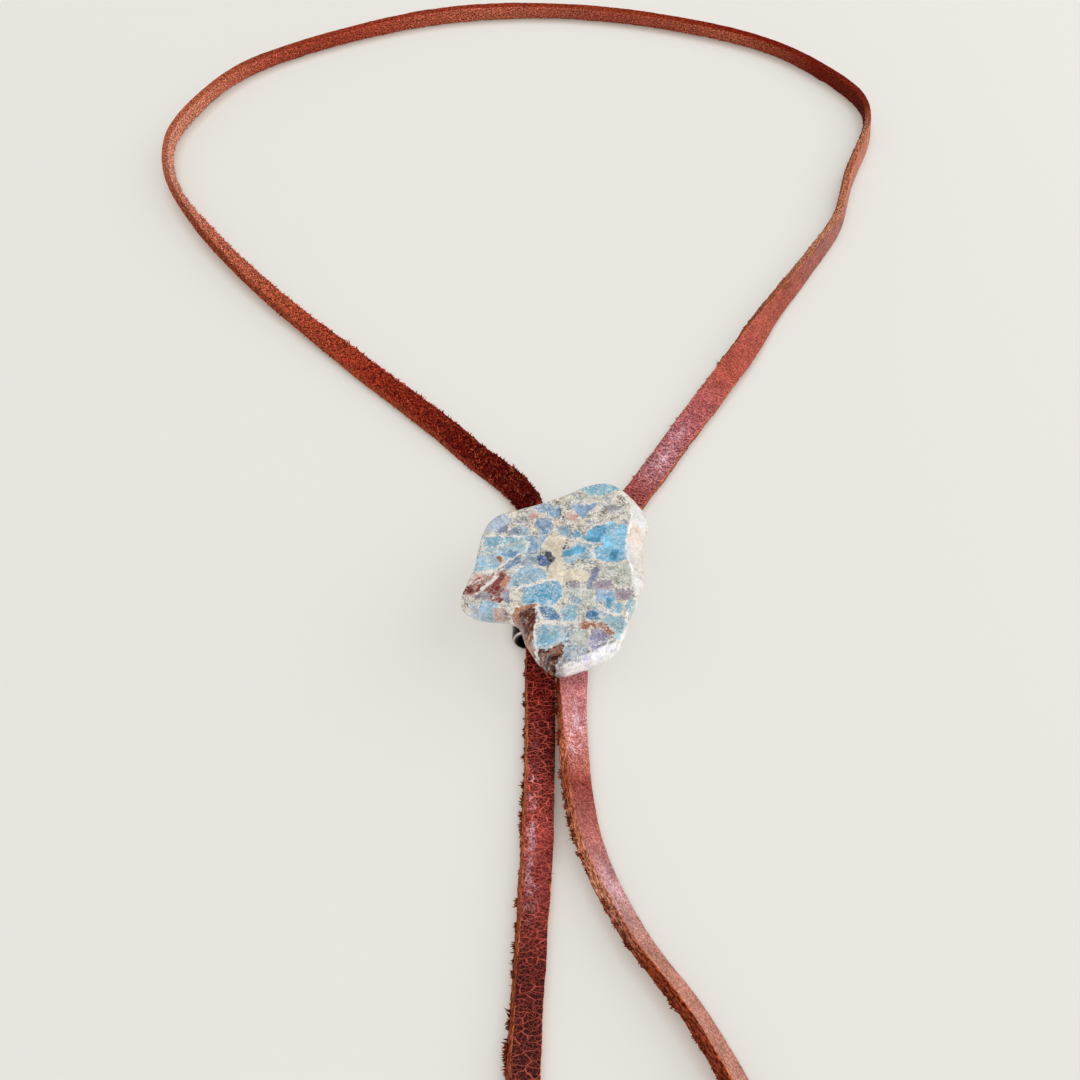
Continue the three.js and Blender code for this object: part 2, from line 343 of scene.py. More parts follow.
# The tails' edges are swollen with loose felt where they lie side by side below the stone: distance along
# the lace, swelling, both in mm.
SWELLING = np.array([
    (60, 0), (80, 0.11), (104, 0.11), (110, 0), (758, 0), (763, 0.11), (790, 0.11), (800, 0),
])


def out_of_slide(y):
    """0 where the strip is inside the slide, 1 more than a few millimetres outside it."""
    return ramp(abs(y - SLIDE_MIDDLE_Y), STILL_REACH, FREE_REACH)


free = out_of_slide(middle[:, 1])[:, None]
# The same points on a flat, straight strip, in mm: along, across and up. Patterns are worked out there.
strip_mm = np.stack(np.broadcast_arrays(
    along[:, None] / MM, (side * HALF_WIDTH_MM + shift / MM)[None, :], height[None, :] / MM), -1)
along_only = strip_mm * (1, 0, 0)
knife = (
    0.10 * noise(along_only + side[:, None] * (0, 7.5, 0), 6, 1)
    + 0.05 * noise(along_only + side[:, None] * (0, 3.5, 0), 1.7, 2)
)
swollen = np.interp(along / MM, *SWELLING.T)[:, None]
x_part = side * (width / 2)[:, None] + shift + side * (knife + swollen) * MM * free
y_part = height * (1 + 0.05 * free * noise(along_only, 14, 3))
lumps = (
    on_grain * (0.035 * noise(strip_mm, 2.2, 4) + 0.022 * noise(strip_mm, 0.8, 5))
    + on_suede * (0.08 * noise(strip_mm, 1.1, 6) + 0.06 * noise(strip_mm, 0.5, 7))
    + on_cut * (0.05 * noise(strip_mm * (0.5, 1, 1), 0.9, 8) + 0.04 * noise(strip_mm, 0.45, 9))
)
torn = ramp(-section_out[:, 1], 0.2, 0.6) * ramp(abs(section_out[:, 0]), 0.2, 0.6)
lumps = lumps + torn * (0.12 * noise(strip_mm, 0.7, 10) + 0.08 * noise(strip_mm, 2.4, 11))
lumps = lumps * MM * free
surface_out = (
    section_out[:, 0][None, :, None] * across[:, None, :]
    + section_out[:, 1][None, :, None] * grain_out[:, None, :]
)
lace_points = (
    middle[:, None, :]
    + x_part[..., None] * across[:, None, :]
    + y_part[..., None] * grain_out[:, None, :]
    + lumps[..., None] * surface_out
)
LACE_CLEARANCE = 0.02 * MM  # no point of the lace is lower than this over the table
lace_points[..., 2] = np.maximum(lace_points[..., 2], LACE_CLEARANCE)
print("The lace's shape spans", np.round(np.ptp(lace_points.reshape(-1, 3), axis=0) * 1000, 1), "mm")


# %% Make the lace's mesh
def closed_strip(name, grid):
    """A tube from a grid of points (rings, around, 3), its two ends closed with a fan to their middle."""
    rings, turn = grid.shape[:2]
    points = np.vstack([grid.reshape(-1, 3), grid[0].mean(0), grid[-1].mean(0)])
    here = np.arange(turn)
    after = (here + 1) % turn
    last = (rings - 1) * turn
    start_cap = np.stack([np.full(turn, rings * turn), after, here], -1)
    end_cap = np.stack([np.full(turn, rings * turn + 1), last + here, last + after], -1)
    return mesh_from(name, points, rows_of_quads(rings, turn), np.vstack([start_cap, end_cap]))


lace = closed_strip("leather_strip", lace_points)
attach(lace, "root")
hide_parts("leather_lace")

# %% [markdown]
# The strip's own map lets patterns follow it: u runs along the lace and v once round it, both in metres, so
# a pattern that is sized in millimetres keeps its size.

section_line = np.c_[side * HALF_WIDTH_MM * MM + shift, height]
ring_steps = np.linalg.norm(np.diff(section_line, axis=0, append=section_line[:1]), axis=1)
round_v = np.r_[0, np.cumsum(ring_steps)]
quad_ring, quad_place = np.divmod(np.arange((ring_count - 1) * around), around)
corner_ring = np.stack([quad_ring, quad_ring, quad_ring + 1, quad_ring + 1], -1)
corner_place = np.stack([quad_place, quad_place + 1, quad_place + 1, quad_place], -1)
strip_uv = np.stack([along[corner_ring], round_v[corner_place]], -1).reshape(-1, 2)
cap_uv = np.tile([(0.0, 0.0), (1 * MM, 0.0), (0.0, 1 * MM)], (2 * around, 1))
uv_map = lace.data.uv_layers.new(name="strip")
uv_map.data.foreach_set("uv", np.vstack([strip_uv, cap_uv]).astype(np.float32).ravel())

print("Mapped", len(strip_uv) // 4, "faces of the strip")

# %% [markdown]
# ## Tones along the lace
# The hide wasn't dyed evenly and the strip has been handled, so its colour changes along its length. A table
# gives each face's colour at a few dozen places, and the colours blend between them. The table also holds
# painted light: some stretches are charted darker as painted shade, where they turn from the lamp or lie
# beside the stone, and some are charted paler as painted light and painted sheen. Noise for the whole strip
# would be shorter, but it couldn't say which stretch is dark and which is pale.

# %% Chart the lace's tones
# Columns: distance along the lace in mm, grain side, suede side, left cut edge, right cut edge. Painted
# shade: the grain from 70 to 96 mm beside the stone, the suede from 125 to 145 mm and the suede from 530 to
# 590 mm at the loop's right end are charted darker, and so is the cut edge that is turned from the lamp.
# Painted light: the suede from about 245 to 312 mm, at the loop's left end that faces the lamp, is charted
# paler. Painted sheen: the grain at 58, 700 to 714 and 808 mm is charted paler.
LACE_TONES = [
    (0, "360805", "8a3a24", "94482c", "b5603a"),
    (36, "4d0b07", "8a3a24", "8e442a", "b5603a"),
    (58, "983e36", "8a3a24", "a85a38", "b5603a"),
    (70, "5b0d09", "7a2c1a", "b46a46", "a85834"),
    (84, "6c140f", "6a2014", "7c3820", "9a5236"),
    (96, "5c0e08", "6a2014", "5e2010", "8a4026"),
    (125, "4c140c", "621109", "5a1c14", "7a3020"),
    (145, "5c1810", "70160b", "702818", "84341e"),
    (176, "7a2a1e", "a03420", "8c3c26", "9c442a"),
    (205, "904030", "ba5638", "a04e34", "90402a"),
    (245, "a05040", "c47458", "b06444", "843c26"),
    (280, "a85c48", "d29680", "c08264", "a8624a"),
    (312, "a05440", "d0846c", "b06c4e", "aa5c40"),
    (345, "84382a", "b8563e", "9a4c32", "8c3a24"),
    (360, "84382a", "a24430", "9a4c32", "8c3622"),
    (380, "84382a", "ae4c36", "9a4c32", "8c3420"),
    (420, "84382a", "bc6850", "a25638", "8c3420"),
    (460, "823628", "a85040", "96482e", "8a361c"),
    (500, "7e3426", "b25c44", "92442a", "7e1e08"),
    (530, "72281c", "701806", "863c24", "6a1606"),
    (560, "a86850", "4a0a03", "985034", "72240e"),
    (575, "a86850", "4a0a03", "985034", "b0745a"),
    (590, "a86c58", "601a0e", "aa6446", "ac6448"),
    (626, "8c5a52", "8a3a24", "9e543a", "ba8264"),
    (650, "924a3a", "8a3a24", "9e543a", "9c5a40"),
    (682, "a44e3e", "8a3a24", "9e543a", "82442a"),
    (700, "a05a5e", "8a3a24", "9e543a", "7a3c24"),
    (714, "9c6468", "7e3220", "a05c40", "6e2e1c"),
    (722, "8a4442", "7c2e1c", "a05e42", "682818"),
    (730, "7c3a36", "7a2c1a", "a26244", "642414"),
    (772, "be7c7c", "6a2014", "9e563a", "682414"),
    (785, "ae6c60", "7a2c1a", "9e563a", "cc7652"),
    (790, "86382c", "8a3a24", "9e563a", "9c4a32"),
    (800, "aa6a62", "8a3a24", "9e563a", "c88060"),
    (808, "b28a88", "8a3a24", "9e563a", "c08064"),
    (820, "b2806e", "8a3a24", "a25a3c", "80361f"),
    (862, "b07e6c", "8a3a24", "a25a3c", "80361f"),
]
# Painted sheen: pale mauve patches on the grain where its waxed surface mirrors the light, painted into its
# colour. Columns: middle along the lace and reach in mm, place across (1 is the left edge, -1 the right) and
# spread, then how strong.
PAINTED_SHEEN = [
    (57, 10, 0.6, 0.3, 0.4), (47, 3, 0.4, 0.5, 0.25), (779, 3.4, 0.1, 0.8, 0.95), (783, 1.6, -0.3, 0.5, 0.8),
    (808, 5, -0.1, 0.7, 0.45), (712, 5, 0.1, 0.6, 0.5), (703, 3, -0.3, 0.5, 0.4),
]
# The colour of the painted sheen.
PAINTED_SHEEN_COLOUR = "dac2cc"
# How much the grain is creased, from 0 to 1: distance along the lace in mm, amount.
CREASED = np.array([
    (0, 0.8), (38, 0.7), (52, 0.4), (66, 0.9), (104, 1), (560, 0.1), (680, 0.2), (705, 0.55), (740, 0.7),
    (776, 0.15), (786, 0.35), (796, 0.15), (862, 0.0),
])
WORN_RIM = "c4703e"  # bare leather where the grain side's corner is rubbed


def tone_at(places, column):
    """The charted colour of one face at distances along the lace, in linear light."""
    stops = np.array([row[0] for row in LACE_TONES]) * MM
    colours = np.array([linear(row[column]) for row in LACE_TONES])
    return np.stack([np.interp(places, stops, colours[:, k]) for k in range(3)], -1)


grain_tone, suede_tone, left_tone, right_tone = (
    tone_at(along, column)[:, None, :] for column in (1, 2, 3, 4)
)
cut_tone = np.where((side > 0)[None, :, None], left_tone, right_tone)
lace_colour = sum(
    share[None, :, None] * tone
    for share, tone in ((on_grain, grain_tone), (on_suede, suede_tone), (on_cut, cut_tone))
)
on_rim = ramp(section_out[:, 1], 0.3, 0.45) * (1 - ramp(section_out[:, 1], 0.9, 0.95))
rim_patchy = ramp(noise(strip_mm, 2.4, 12), -0.7, 0.2) * on_rim * 0.75
lace_colour = blend(lace_colour, linear(WORN_RIM), rim_patchy)
# Lay the painted sheen patches over the grain's tone.
for middle_mm, reach_mm, beside, spread, strength in PAINTED_SHEEN:
    past, aside = (strip_mm[..., 0] - middle_mm) / reach_mm, (side[None, :] - beside) / spread
    sheen_patch = np.exp(-(past**2) - aside**2) * on_grain
    sheen_patch = sheen_patch * ramp(noise(strip_mm, 1.1, 13) + 0.6 * noise(strip_mm, 0.5, 14), -0.7, 0.7)
    lace_colour = blend(lace_colour, linear(PAINTED_SHEEN_COLOUR), strength * sheen_patch)
cap_colour = np.stack([left_tone[0, 0], left_tone[-1, 0]])
give_colour(lace, "tone", np.vstack([lace_colour.reshape(-1, 3), cap_colour]))
print("Tones charted at", len(LACE_TONES), "places")

# %% [markdown]
# ## Loose fibres
# Leather is a felt of collagen fibres. On the suede side they stand up as a nap, and where the knife cut
# the strip they hang out of the edges as ragged tufts. A hair system would need curves and would not
# export. Thin three-sided spikes, each bent once in the middle, are real geometry and need only ten
# triangles each. Real fibres are 0.01 mm thick, too thin to show, so each spike stands for a small bundle.

# %% Spikes from arrays
SPIKE_POINTS = 7  # the root's ring of three, the middle's, and the tip
SPIKE_QUADS = [(0, 1, 4, 3), (1, 2, 5, 4), (2, 0, 3, 5)]
SPIKE_TRIANGLES = [(0, 2, 1), (3, 4, 6), (4, 5, 6), (5, 3, 6)]
FIBRE_CLEARANCE = 0.01 * MM  # no fibre is lower than this over the table


def spikes(name, root, direction, length, thickness, bend, seed):
    """Closed three-sided spikes of seven points. A spike has a ring of three at its root, a ring at root +
    direction * length / 2 with three quarters of the thickness, and a tip another half length on, turned
    by bend."""
    draw = np.random.default_rng(seed)
    count = len(root)
    direction = unit(direction)
    side_way = unit(np.cross(direction, draw.normal(size=(count, 3))))
    third_way = np.cross(direction, side_way)
    half_way = root + direction * length[:, None] / 2
    tip = half_way + unit(direction + bend * draw.normal(size=(count, 3))) * length[:, None] / 2
    turn = np.radians([0, 120, 240])
    ring = np.cos(turn)[None, :, None] * side_way[:, None] + np.sin(turn)[None, :, None] * third_way[:, None]
    first = root[:, None] + ring * thickness[:, None, None] / 2
    second = half_way[:, None] + ring * thickness[:, None, None] / 2 * 0.75
    points = np.concatenate([first, second, tip[:, None]], axis=1)
    points[..., 2] = np.maximum(points[..., 2], FIBRE_CLEARANCE)
    start = np.arange(count)[:, None, None] * SPIKE_POINTS
    return mesh_from(name, points.reshape(-1, 3), start + SPIKE_QUADS, start + SPIKE_TRIANGLES)


def on_lace(ring_place, section_place):
    """Points, outward directions and travel directions on the finished strip, at fractional rings and
    section places: each blends the four grid points round it by how near they are."""
    i = np.minimum(ring_place.astype(int), ring_count - 2)
    j = section_place.astype(int)
    a, b = (ring_place - i)[:, None], (section_place - j)[:, None]
    j, after = j % around, (j + 1) % around
    mixed = []
    for grid in (lace_points, surface_out):
        near = grid[i, j] * (1 - b) + grid[i, after] * b
        far = grid[i + 1, j] * (1 - b) + grid[i + 1, after] * b
        mixed.append(near * (1 - a) + far * a)
    return mixed[0], unit(mixed[1]), forward[i]


# %% Chart the nap
NAP_COUNT = 17500
CUT_SHARE = 0.35  # of the nap that stands on the two cut edges
CLEAR_OF_SLIDE = 0.9  # out_of_slide() where fibres may begin

# How closely the nap stands, against the rest: distance along the lace in mm, share. Most of it goes where
# the suede side is up. Elsewhere it lies hidden against the floor.
NAP_SHARE = np.array([
    (0, 0.2), (104, 0.2), (118, 2.2), (250, 1.5), (300, 1), (575, 0.9), (610, 0.2), (862, 0.2),
])
# How long the nap is, against the rest: distance along the lace in mm, factor.
NAP_REACH = np.array([(0, 0.9), (104, 1), (120, 1.6), (230, 1.4), (300, 1), (862, 0.9)])
# A fibre bundle is painted darker at its root, in the others' shade, and paler at its tip, where it catches
# the light: three root points, three middle points and the tip.
ROOT_TO_TIP = np.array([0.3, 0.3, 0.3, 1.05, 1.05, 1.05, 1.6])
NAP_LIT_TIP, TUFT_LIT_TIP = "c8643e", "c8623a"  # painted highlights: fibre tips that catch the light


def along_spikes(tone):
    """Each spike's tone times the root-to-tip factor, for its seven points in order."""
    return (tone[:, None] * ROOT_TO_TIP[:, None]).reshape(-1, 3)


print("Nap charted for", NAP_COUNT, "fibre bundles")

# %% Plant the nap on the suede and the cut edges
draw = np.random.default_rng(21)
suede_start, suede_end = np.flatnonzero(lean == 270)[[0, -1]]
cut_places = [np.flatnonzero(lean == turn)[[0, -1]] for turn in (0, 180)]
share_so_far = np.cumsum(np.interp(along / MM, *NAP_SHARE.T))
evenly = draw.uniform(0, 1, NAP_COUNT)
kind = draw.random(NAP_COUNT)
on_suede_up = np.interp(evenly * share_so_far[-1], share_so_far, np.arange(ring_count))
place = np.where(kind < CUT_SHARE, np.interp(evenly * LACE_LENGTH, along, np.arange(ring_count)), on_suede_up)
beside = draw.uniform(suede_start - 1, suede_end + 1, NAP_COUNT)
for choice, (first, last) in enumerate(cut_places):
    chosen = (kind < CUT_SHARE) & (kind // (CUT_SHARE / 2) == choice)
    beside = np.where(chosen, draw.uniform(first, last, NAP_COUNT), beside)
root, out, travel = on_lace(place, beside)
keep = out_of_slide(root[:, 1]) > CLEAR_OF_SLIDE
place, beside, root, out, travel, kind = (
    values[keep] for values in (place, beside, root, out, travel, kind)
)
on_edge = kind < CUT_SHARE
clump = noise(root / MM, 1.1, 22)
combed = travel * (0.9 * noise(root / MM, 2.3, 23))[:, None]
direction = out * 0.55 + unit(combed + draw.normal(size=root.shape) * 0.45)
nap_along = np.interp(place, np.arange(ring_count), along)
reach_factor = np.interp(nap_along / MM, *NAP_REACH.T)
# Bundles are 0.34 to 0.74 mm long and 0.09 to 0.17 mm thick, longer in a clump and shorter on the edges.
nap_length = (0.34 + 0.40 * draw.random(len(root)) + 0.12 * clump) * np.where(on_edge, 0.75, 1)
nap_length = nap_length * reach_factor
nap_thickness = (0.09 + 0.08 * draw.random(len(root))) * reach_factor**1.8
nap = spikes(
    "suede_nap", root - out * 0.06 * MM, direction, nap_length * MM, nap_thickness * MM, bend=0.5, seed=24,
)
left_side = beside > around / 2
edge_tone = np.where(left_side[:, None], tone_at(nap_along, 3), tone_at(nap_along, 4))
nap_tone = np.where(on_edge[:, None], edge_tone, tone_at(nap_along, 2))
nap_tone = nap_tone * np.minimum(np.exp(draw.normal(size=len(root)) * 0.8), 1.9)[:, None]
# Painted highlights: a share of the fibres, more of them in clumps, get pale lit tips.
nap_tone = blend(nap_tone, linear(NAP_LIT_TIP), 0.6 * (draw.random(len(root)) < 0.20 + 0.55 * clump))
give_colour(nap, "tone", along_spikes(nap_tone))
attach(nap, "root")

# %% [markdown]
# Where the blade was dull, the suede corner is torn into tufts. They are largest on the tails' left edges.
# Each tuft is a clump of spikes that share a root and lean, with a few single hairs among them.

# %% Chart the tufts
TUFT_COUNT = 2100
SPIKES_A_TUFT = 8
SINGLE_SHARE = 0.04  # of the spikes that are single long hairs
# How ragged the two edges are: distance along the lace in mm, left edge, right edge.
RAGGED = np.array([
    (0, 1.3, 0.5), (60, 1.3, 0.5), (72, 1.2, 0.9), (100, 1.1, 0.9), (125, 0.8, 1.0), (240, 0.5, 0.9),
    (300, 0.4, 0.6), (560, 0.4, 0.6), (640, 0.4, 0.7), (700, 0.4, 1.2), (760, 0.3, 1.3), (790, 0.2, 1.2),
    (862, 0.2, 1.2),
])
# How closely the tufts sit, against the rest: distance along the lace in mm, share.
TUFT_SHARE = np.array([
    (0, 2.2), (104, 2.2), (118, 1.2), (200, 0.8), (560, 0.7), (735, 1), (762, 1.9), (862, 1.9),
])
# Where the tails end and the neck loop begins, and back: the lace in the slide and under the stone, in mm.
LEFT_TAIL_ENDS, RIGHT_TAIL_STARTS = (104, 130), (740, 777)
print("Tufts charted for", TUFT_COUNT * SPIKES_A_TUFT, "spikes")

# %% Plant the tufts on the cut edges
draw = np.random.default_rng(31)
share_so_far = np.cumsum(np.interp(along / MM, *TUFT_SHARE.T))
tuft_place = np.interp(draw.random(TUFT_COUNT) * share_so_far[-1], share_so_far, along)
tuft_side = draw.choice([-1, 1], TUFT_COUNT)
ragged = np.where(tuft_side > 0, *(np.interp(tuft_place / MM, RAGGED[:, 0], RAGGED[:, k]) for k in (1, 2)))
bunched = ramp(noise(np.c_[tuft_place / MM, tuft_side * 4.5, np.zeros(TUFT_COUNT)], 0.9, 32), -0.7, 0.5)
tuft_size = (0.14 + (0.2 + 0.6 * draw.random(TUFT_COUNT)) * ragged * bunched) * MM
left_corner = float(np.flatnonzero((side > 0) & (lean == 300))[0])
right_corner = float(np.flatnonzero((side < 0) & (lean == 240))[0])
tuft_corner = np.where(tuft_side > 0, left_corner, right_corner)
tuft_corner = tuft_corner + tuft_side * draw.uniform(-0.9, 3.5, TUFT_COUNT)

each = np.repeat(np.arange(TUFT_COUNT), SPIKES_A_TUFT)
each_size = tuft_size[each]
single = draw.random(len(each)) < SINGLE_SHARE
spike_along = np.clip(tuft_place[each] + draw.normal(size=len(each)) * 0.3 * each_size, 0, LACE_LENGTH)
place = np.interp(spike_along, along, np.arange(ring_count))
root, out, travel = on_lace(place, tuft_corner[each] + draw.uniform(-0.5, 0.5, len(each)))
outward = tuft_side[each][:, None] * across[np.minimum(place.astype(int), ring_count - 1)]
keep = out_of_slide(root[:, 1]) > CLEAR_OF_SLIDE
tuft_lean = draw.normal(size=TUFT_COUNT)[each][:, None] * travel * 0.6
direction = outward * 0.9 + out * 0.4 + tuft_lean + draw.normal(size=root.shape) * 0.35
tuft_length = each_size * (0.5 + 0.6 * draw.random(len(each))) * np.where(single, 1.7, 1)
tuft_thickness = (0.08 * MM + 0.20 * each_size) * np.where(single, 0.5, 1)
tufts = spikes(
    "edge_tufts", (root - out * 0.10 * MM)[keep], direction[keep], tuft_length[keep], tuft_thickness[keep],
    bend=0.5, seed=33,
)
# Painted shade: on the tails the tufts are darker and fewer of them get pale lit tips, as the tails' edges
# lie in shadow.
tails_in_shade = 1 - ramp(spike_along / MM, *LEFT_TAIL_ENDS) * (1 - ramp(spike_along / MM, *RIGHT_TAIL_STARTS))
uneven = np.minimum(np.exp(draw.normal(size=len(each)) * 0.45), 1.7)
tuft_tone = tone_at(spike_along, 2) * ((1.1 - 0.55 * tails_in_shade) * uneven)[:, None]
tuft_tone = blend(tuft_tone, linear(TUFT_LIT_TIP), 0.6 * (draw.random(len(each)) < 0.45 - 0.22 * tails_in_shade))
give_colour(tufts, "tone", along_spikes(tuft_tone[keep]))
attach(tufts, "root")

# %% [markdown]
# ## The slide
# Both runs of the lace go side by side through a short flattened tube. Only its rounded end peeps out from
# under the stone. A cylinder with a Solidify modifier would have sharp rims, while real plated tube has
# its rims rolled smooth. So its wall is a closed loop carried round an oval: outside, rolled rim, inside,
# rolled rim.

# %% Make the slide
SLIDE_LENGTH, SLIDE_WIDTH, SLIDE_HEIGHT, SLIDE_WALL = 12 * MM, 16 * MM, 5.8 * MM, 1.2 * MM
SLIDE_MIDDLE = np.array([7.6 * MM, SLIDE_MIDDLE_Y, 2.9 * MM])
STRAIGHT_REACH = 4.4 * MM  # how far from the middle the wall's own rings go
ROLL_RINGS, WALL_RINGS, END_POINTS = 13, 9, 25
# A painted highlight runs along one line beside the rims' crest, where the rolled lip catches the light: its
# place and spread, in rings from there.
RIM_GLINT_PLACE, RIM_GLINT_SPREAD = -2.4, 1.1


def slide_points():
    """Rings round a flattened oval, one for each point of the wall's closed profile (inset, place along).
    A ring is a circle of half the height less the inset, with its two halves moved apart."""
    rim = SLIDE_WALL / 2
    roll_turn = np.radians(np.linspace(0, 180, ROLL_RINGS))
    front = [(rim - rim * math.cos(a), -SLIDE_LENGTH / 2 + rim - rim * math.sin(a)) for a in roll_turn]
    back = [(rim + rim * math.cos(a), SLIDE_LENGTH / 2 - rim + rim * math.sin(a)) for a in roll_turn]
    straight_places = np.linspace(-STRAIGHT_REACH, STRAIGHT_REACH, WALL_RINGS)
    inside = [(SLIDE_WALL, y) for y in straight_places]
    outside = [(0.0, y) for y in straight_places[::-1]]
    ends = np.radians(np.linspace(-90, 90, END_POINTS))
    turn = np.r_[ends, ends + math.pi]
    rings = []
    for inset, place in front + inside + back + outside:
        radius = SLIDE_HEIGHT / 2 - inset
        straight = np.where(np.arange(len(turn)) < len(ends), 1, -1) * (SLIDE_WIDTH - SLIDE_HEIGHT) / 2
        x, z = radius * np.cos(turn) + straight, radius * np.sin(turn)
        rings.append(np.c_[x, np.full(len(turn), place), z])
    return np.array(rings) + SLIDE_MIDDLE


slide_rings = slide_points()
slide_count, slide_around = slide_rings.shape[:2]
closing = rows_of_quads(slide_count + 1, slide_around) % (slide_count * slide_around)
slide = mesh_from("slide_tube", slide_rings.reshape(-1, 3), closing)
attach(slide, "root")
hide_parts("slide_sleeve")
over_rim, off_rim = np.arange(ROLL_RINGS) - ROLL_RINGS // 2, np.full(WALL_RINGS, ROLL_RINGS // 2)
from_crest = np.r_[over_rim, off_rim, over_rim, off_rim]
# The painted highlight along the rolled rims.
rim_glint = np.exp(-(((from_crest - RIM_GLINT_PLACE) / RIM_GLINT_SPREAD) ** 2))
give_number(slide, "rim_glint", np.repeat(rim_glint, slide_around))

# %% [markdown]
# ## The stone
# The pendant is a slab of brecciated jasper: blue pieces broken up and healed with cream and rust. It was
# sawn, ground to an irregular outline and tumbled to a polish. Sculpting would do, but the shape is simple
# to say with numbers. Its outline is a smooth closed curve. Rings shrink from that curve to the middle of
# the front and the back, and sloping planes cut the front along its right and lower right sides.

# %% The stone's outline
STONE_OUTLINE = np.array([
    (8, -88.9), (11.8, -87.7), (15.8, -85.8), (18.3, -83), (19.8, -78), (21.3, -74.5), (22.6, -71),
    (22.8, -66), (23.2, -60.5), (24.4, -57), (23.4, -53.8), (20, -49.8), (17.2, -48), (14, -48.4),
    (8, -51.5), (1, -54.3), (-2.8, -55.6), (-5, -57.8), (-6.2, -61.5), (-7.2, -68), (-8.9, -73.4),
    (-9, -75.3), (-7.3, -76.6), (-1.3, -77.8), (0.6, -79), (2.1, -82.8), (4.2, -86.4), (6, -88.3),
])
STONE_MIDDLE = np.array([7.5, -68.5])
STONE_BACK = 6.1  # height of the back over the table, in mm
STONE_THICKNESS = 6.4
# How far the side is drawn in, from the front face down to the back face: height, inset.
STONE_SIDE = np.array([
    (6.4, 0.8), (6.2, 0.4), (5.8, 0.15), (5, 0), (3.5, 0), (2.4, 0.35), (1.3, 1), (0.5, 1.9), (0, 3),
])
STONE_TURNS = 720


def stone_reach(angles):
    """The outline's distance from the stone's middle at each angle: the closed curve through its points,
    looked up by angle."""
    loop = np.vstack([STONE_OUTLINE[-2:], STONE_OUTLINE, STONE_OUTLINE[:3]])
    line = plan_curve(loop, np.linspace(2, len(STONE_OUTLINE) + 2, 4000)) - STONE_MIDDLE
    line_angle, line_reach = np.arctan2(line[:, 1], line[:, 0]), np.hypot(line[:, 0], line[:, 1])
    return np.interp(angles, line_angle, line_reach, period=2 * math.pi)


turns = np.linspace(0, 2 * math.pi, STONE_TURNS, endpoint=False)
reach = stone_reach(turns)
print(f"The stone reaches from {reach.min():.1f} to {reach.max():.1f} mm from its middle")

# %% [markdown]
# The right side's bevel doesn't run straight. The ridge where it leaves the front wanders by a millimetre,
# because it was ground by hand. The lower right has a steeper cut.

# %% The stone's front and its ground faces
# The ridge of the bevel down the right side: y and x in mm, from the bottom up.
RIDGE = np.array([
    (-84, 17.6), (-82, 18.5), (-80, 19.2), (-78.5, 20), (-77, 20.8), (-75, 21), (-72, 20.7), (-69, 20.4),
    (-66, 19.8), (-63, 19.6), (-60, 20.2), (-57, 21.2), (-55, 21), (-53, 20.4), (-50, 19.4), (-48, 18),
])
BEVEL_SLOPE = 33  # degrees
# The lower right cut: a point on its ridge, the direction it falls in and how steeply.
LOWER_CUT = {"x": 13.2, "y": -86.1, "towards": -62, "slope": 46}


def lower_of(first, second, rounding):
    """The smaller of two heights, with the ridge between them rounded over that many millimetres."""
    near = np.clip(0.5 + (second - first) / (2 * rounding), 0, 1)
    return second * (1 - near) + first * near - rounding * near * (1 - near)


def past_lower_cut(x, y):
    """How far a place is past the ridge of the lower right cut, in mm, negative before it."""
    towards = math.radians(LOWER_CUT["towards"])
    return (x - LOWER_CUT["x"]) * math.cos(towards) + (y - LOWER_CUT["y"]) * math.sin(towards)


def front_height(x, y):
    """The front's height in mm over the stone's back: level, a little uneven, and cut by the two planes."""
    flat_mm = np.stack([x, y, np.zeros_like(x)], -1)
    level = STONE_THICKNESS - 0.05 + 0.04 * noise(flat_mm, 5, 41) + 0.012 * noise(flat_mm, 1.3, 42)
    past_ridge = x - np.interp(y, RIDGE[:, 0], RIDGE[:, 1]) + 0.15 * noise(flat_mm, 1.6, 43)
    bevel = STONE_THICKNESS - past_ridge * math.tan(math.radians(BEVEL_SLOPE))
    bevel = bevel + 0.10 * noise(flat_mm, 2.6, 44)
    past_cut = past_lower_cut(x, y) + 0.25 * noise(flat_mm, 2.2, 45)
    cut = STONE_THICKNESS - past_cut * math.tan(math.radians(LOWER_CUT["slope"]))
    return lower_of(lower_of(level, bevel, 0.10), cut, 0.10)


# %% Make the stone
FRONT_RINGS, SIDE_RINGS, BACK_RINGS = 92, 25, 12
NO_LIMIT = 99.0  # mm, over any face: front_height() alone sets the front rings' height
RIM_SOFTENING = 0.06  # mm that the front's rim is drawn in

side_places = np.linspace(0, len(STONE_SIDE) - 1, SIDE_RINGS)
side_height, side_inset = row_curve(STONE_SIDE, side_places).T
front_scale = np.linspace(0, 1, FRONT_RINGS + 1)[1:-1]
back_scale = np.linspace(1, 0, BACK_RINGS + 1)[1:-1]
front_reach = front_scale[:, None] * (reach - STONE_SIDE[0, 1])
side_reach = reach - np.maximum(side_inset, 0)[:, None]
back_reach = back_scale[:, None] * (reach - STONE_SIDE[-1, 1])
all_reach = np.vstack([front_reach, side_reach, back_reach])
ring_height = np.r_[np.full(len(front_scale), NO_LIMIT), side_height, np.zeros(len(back_scale))]

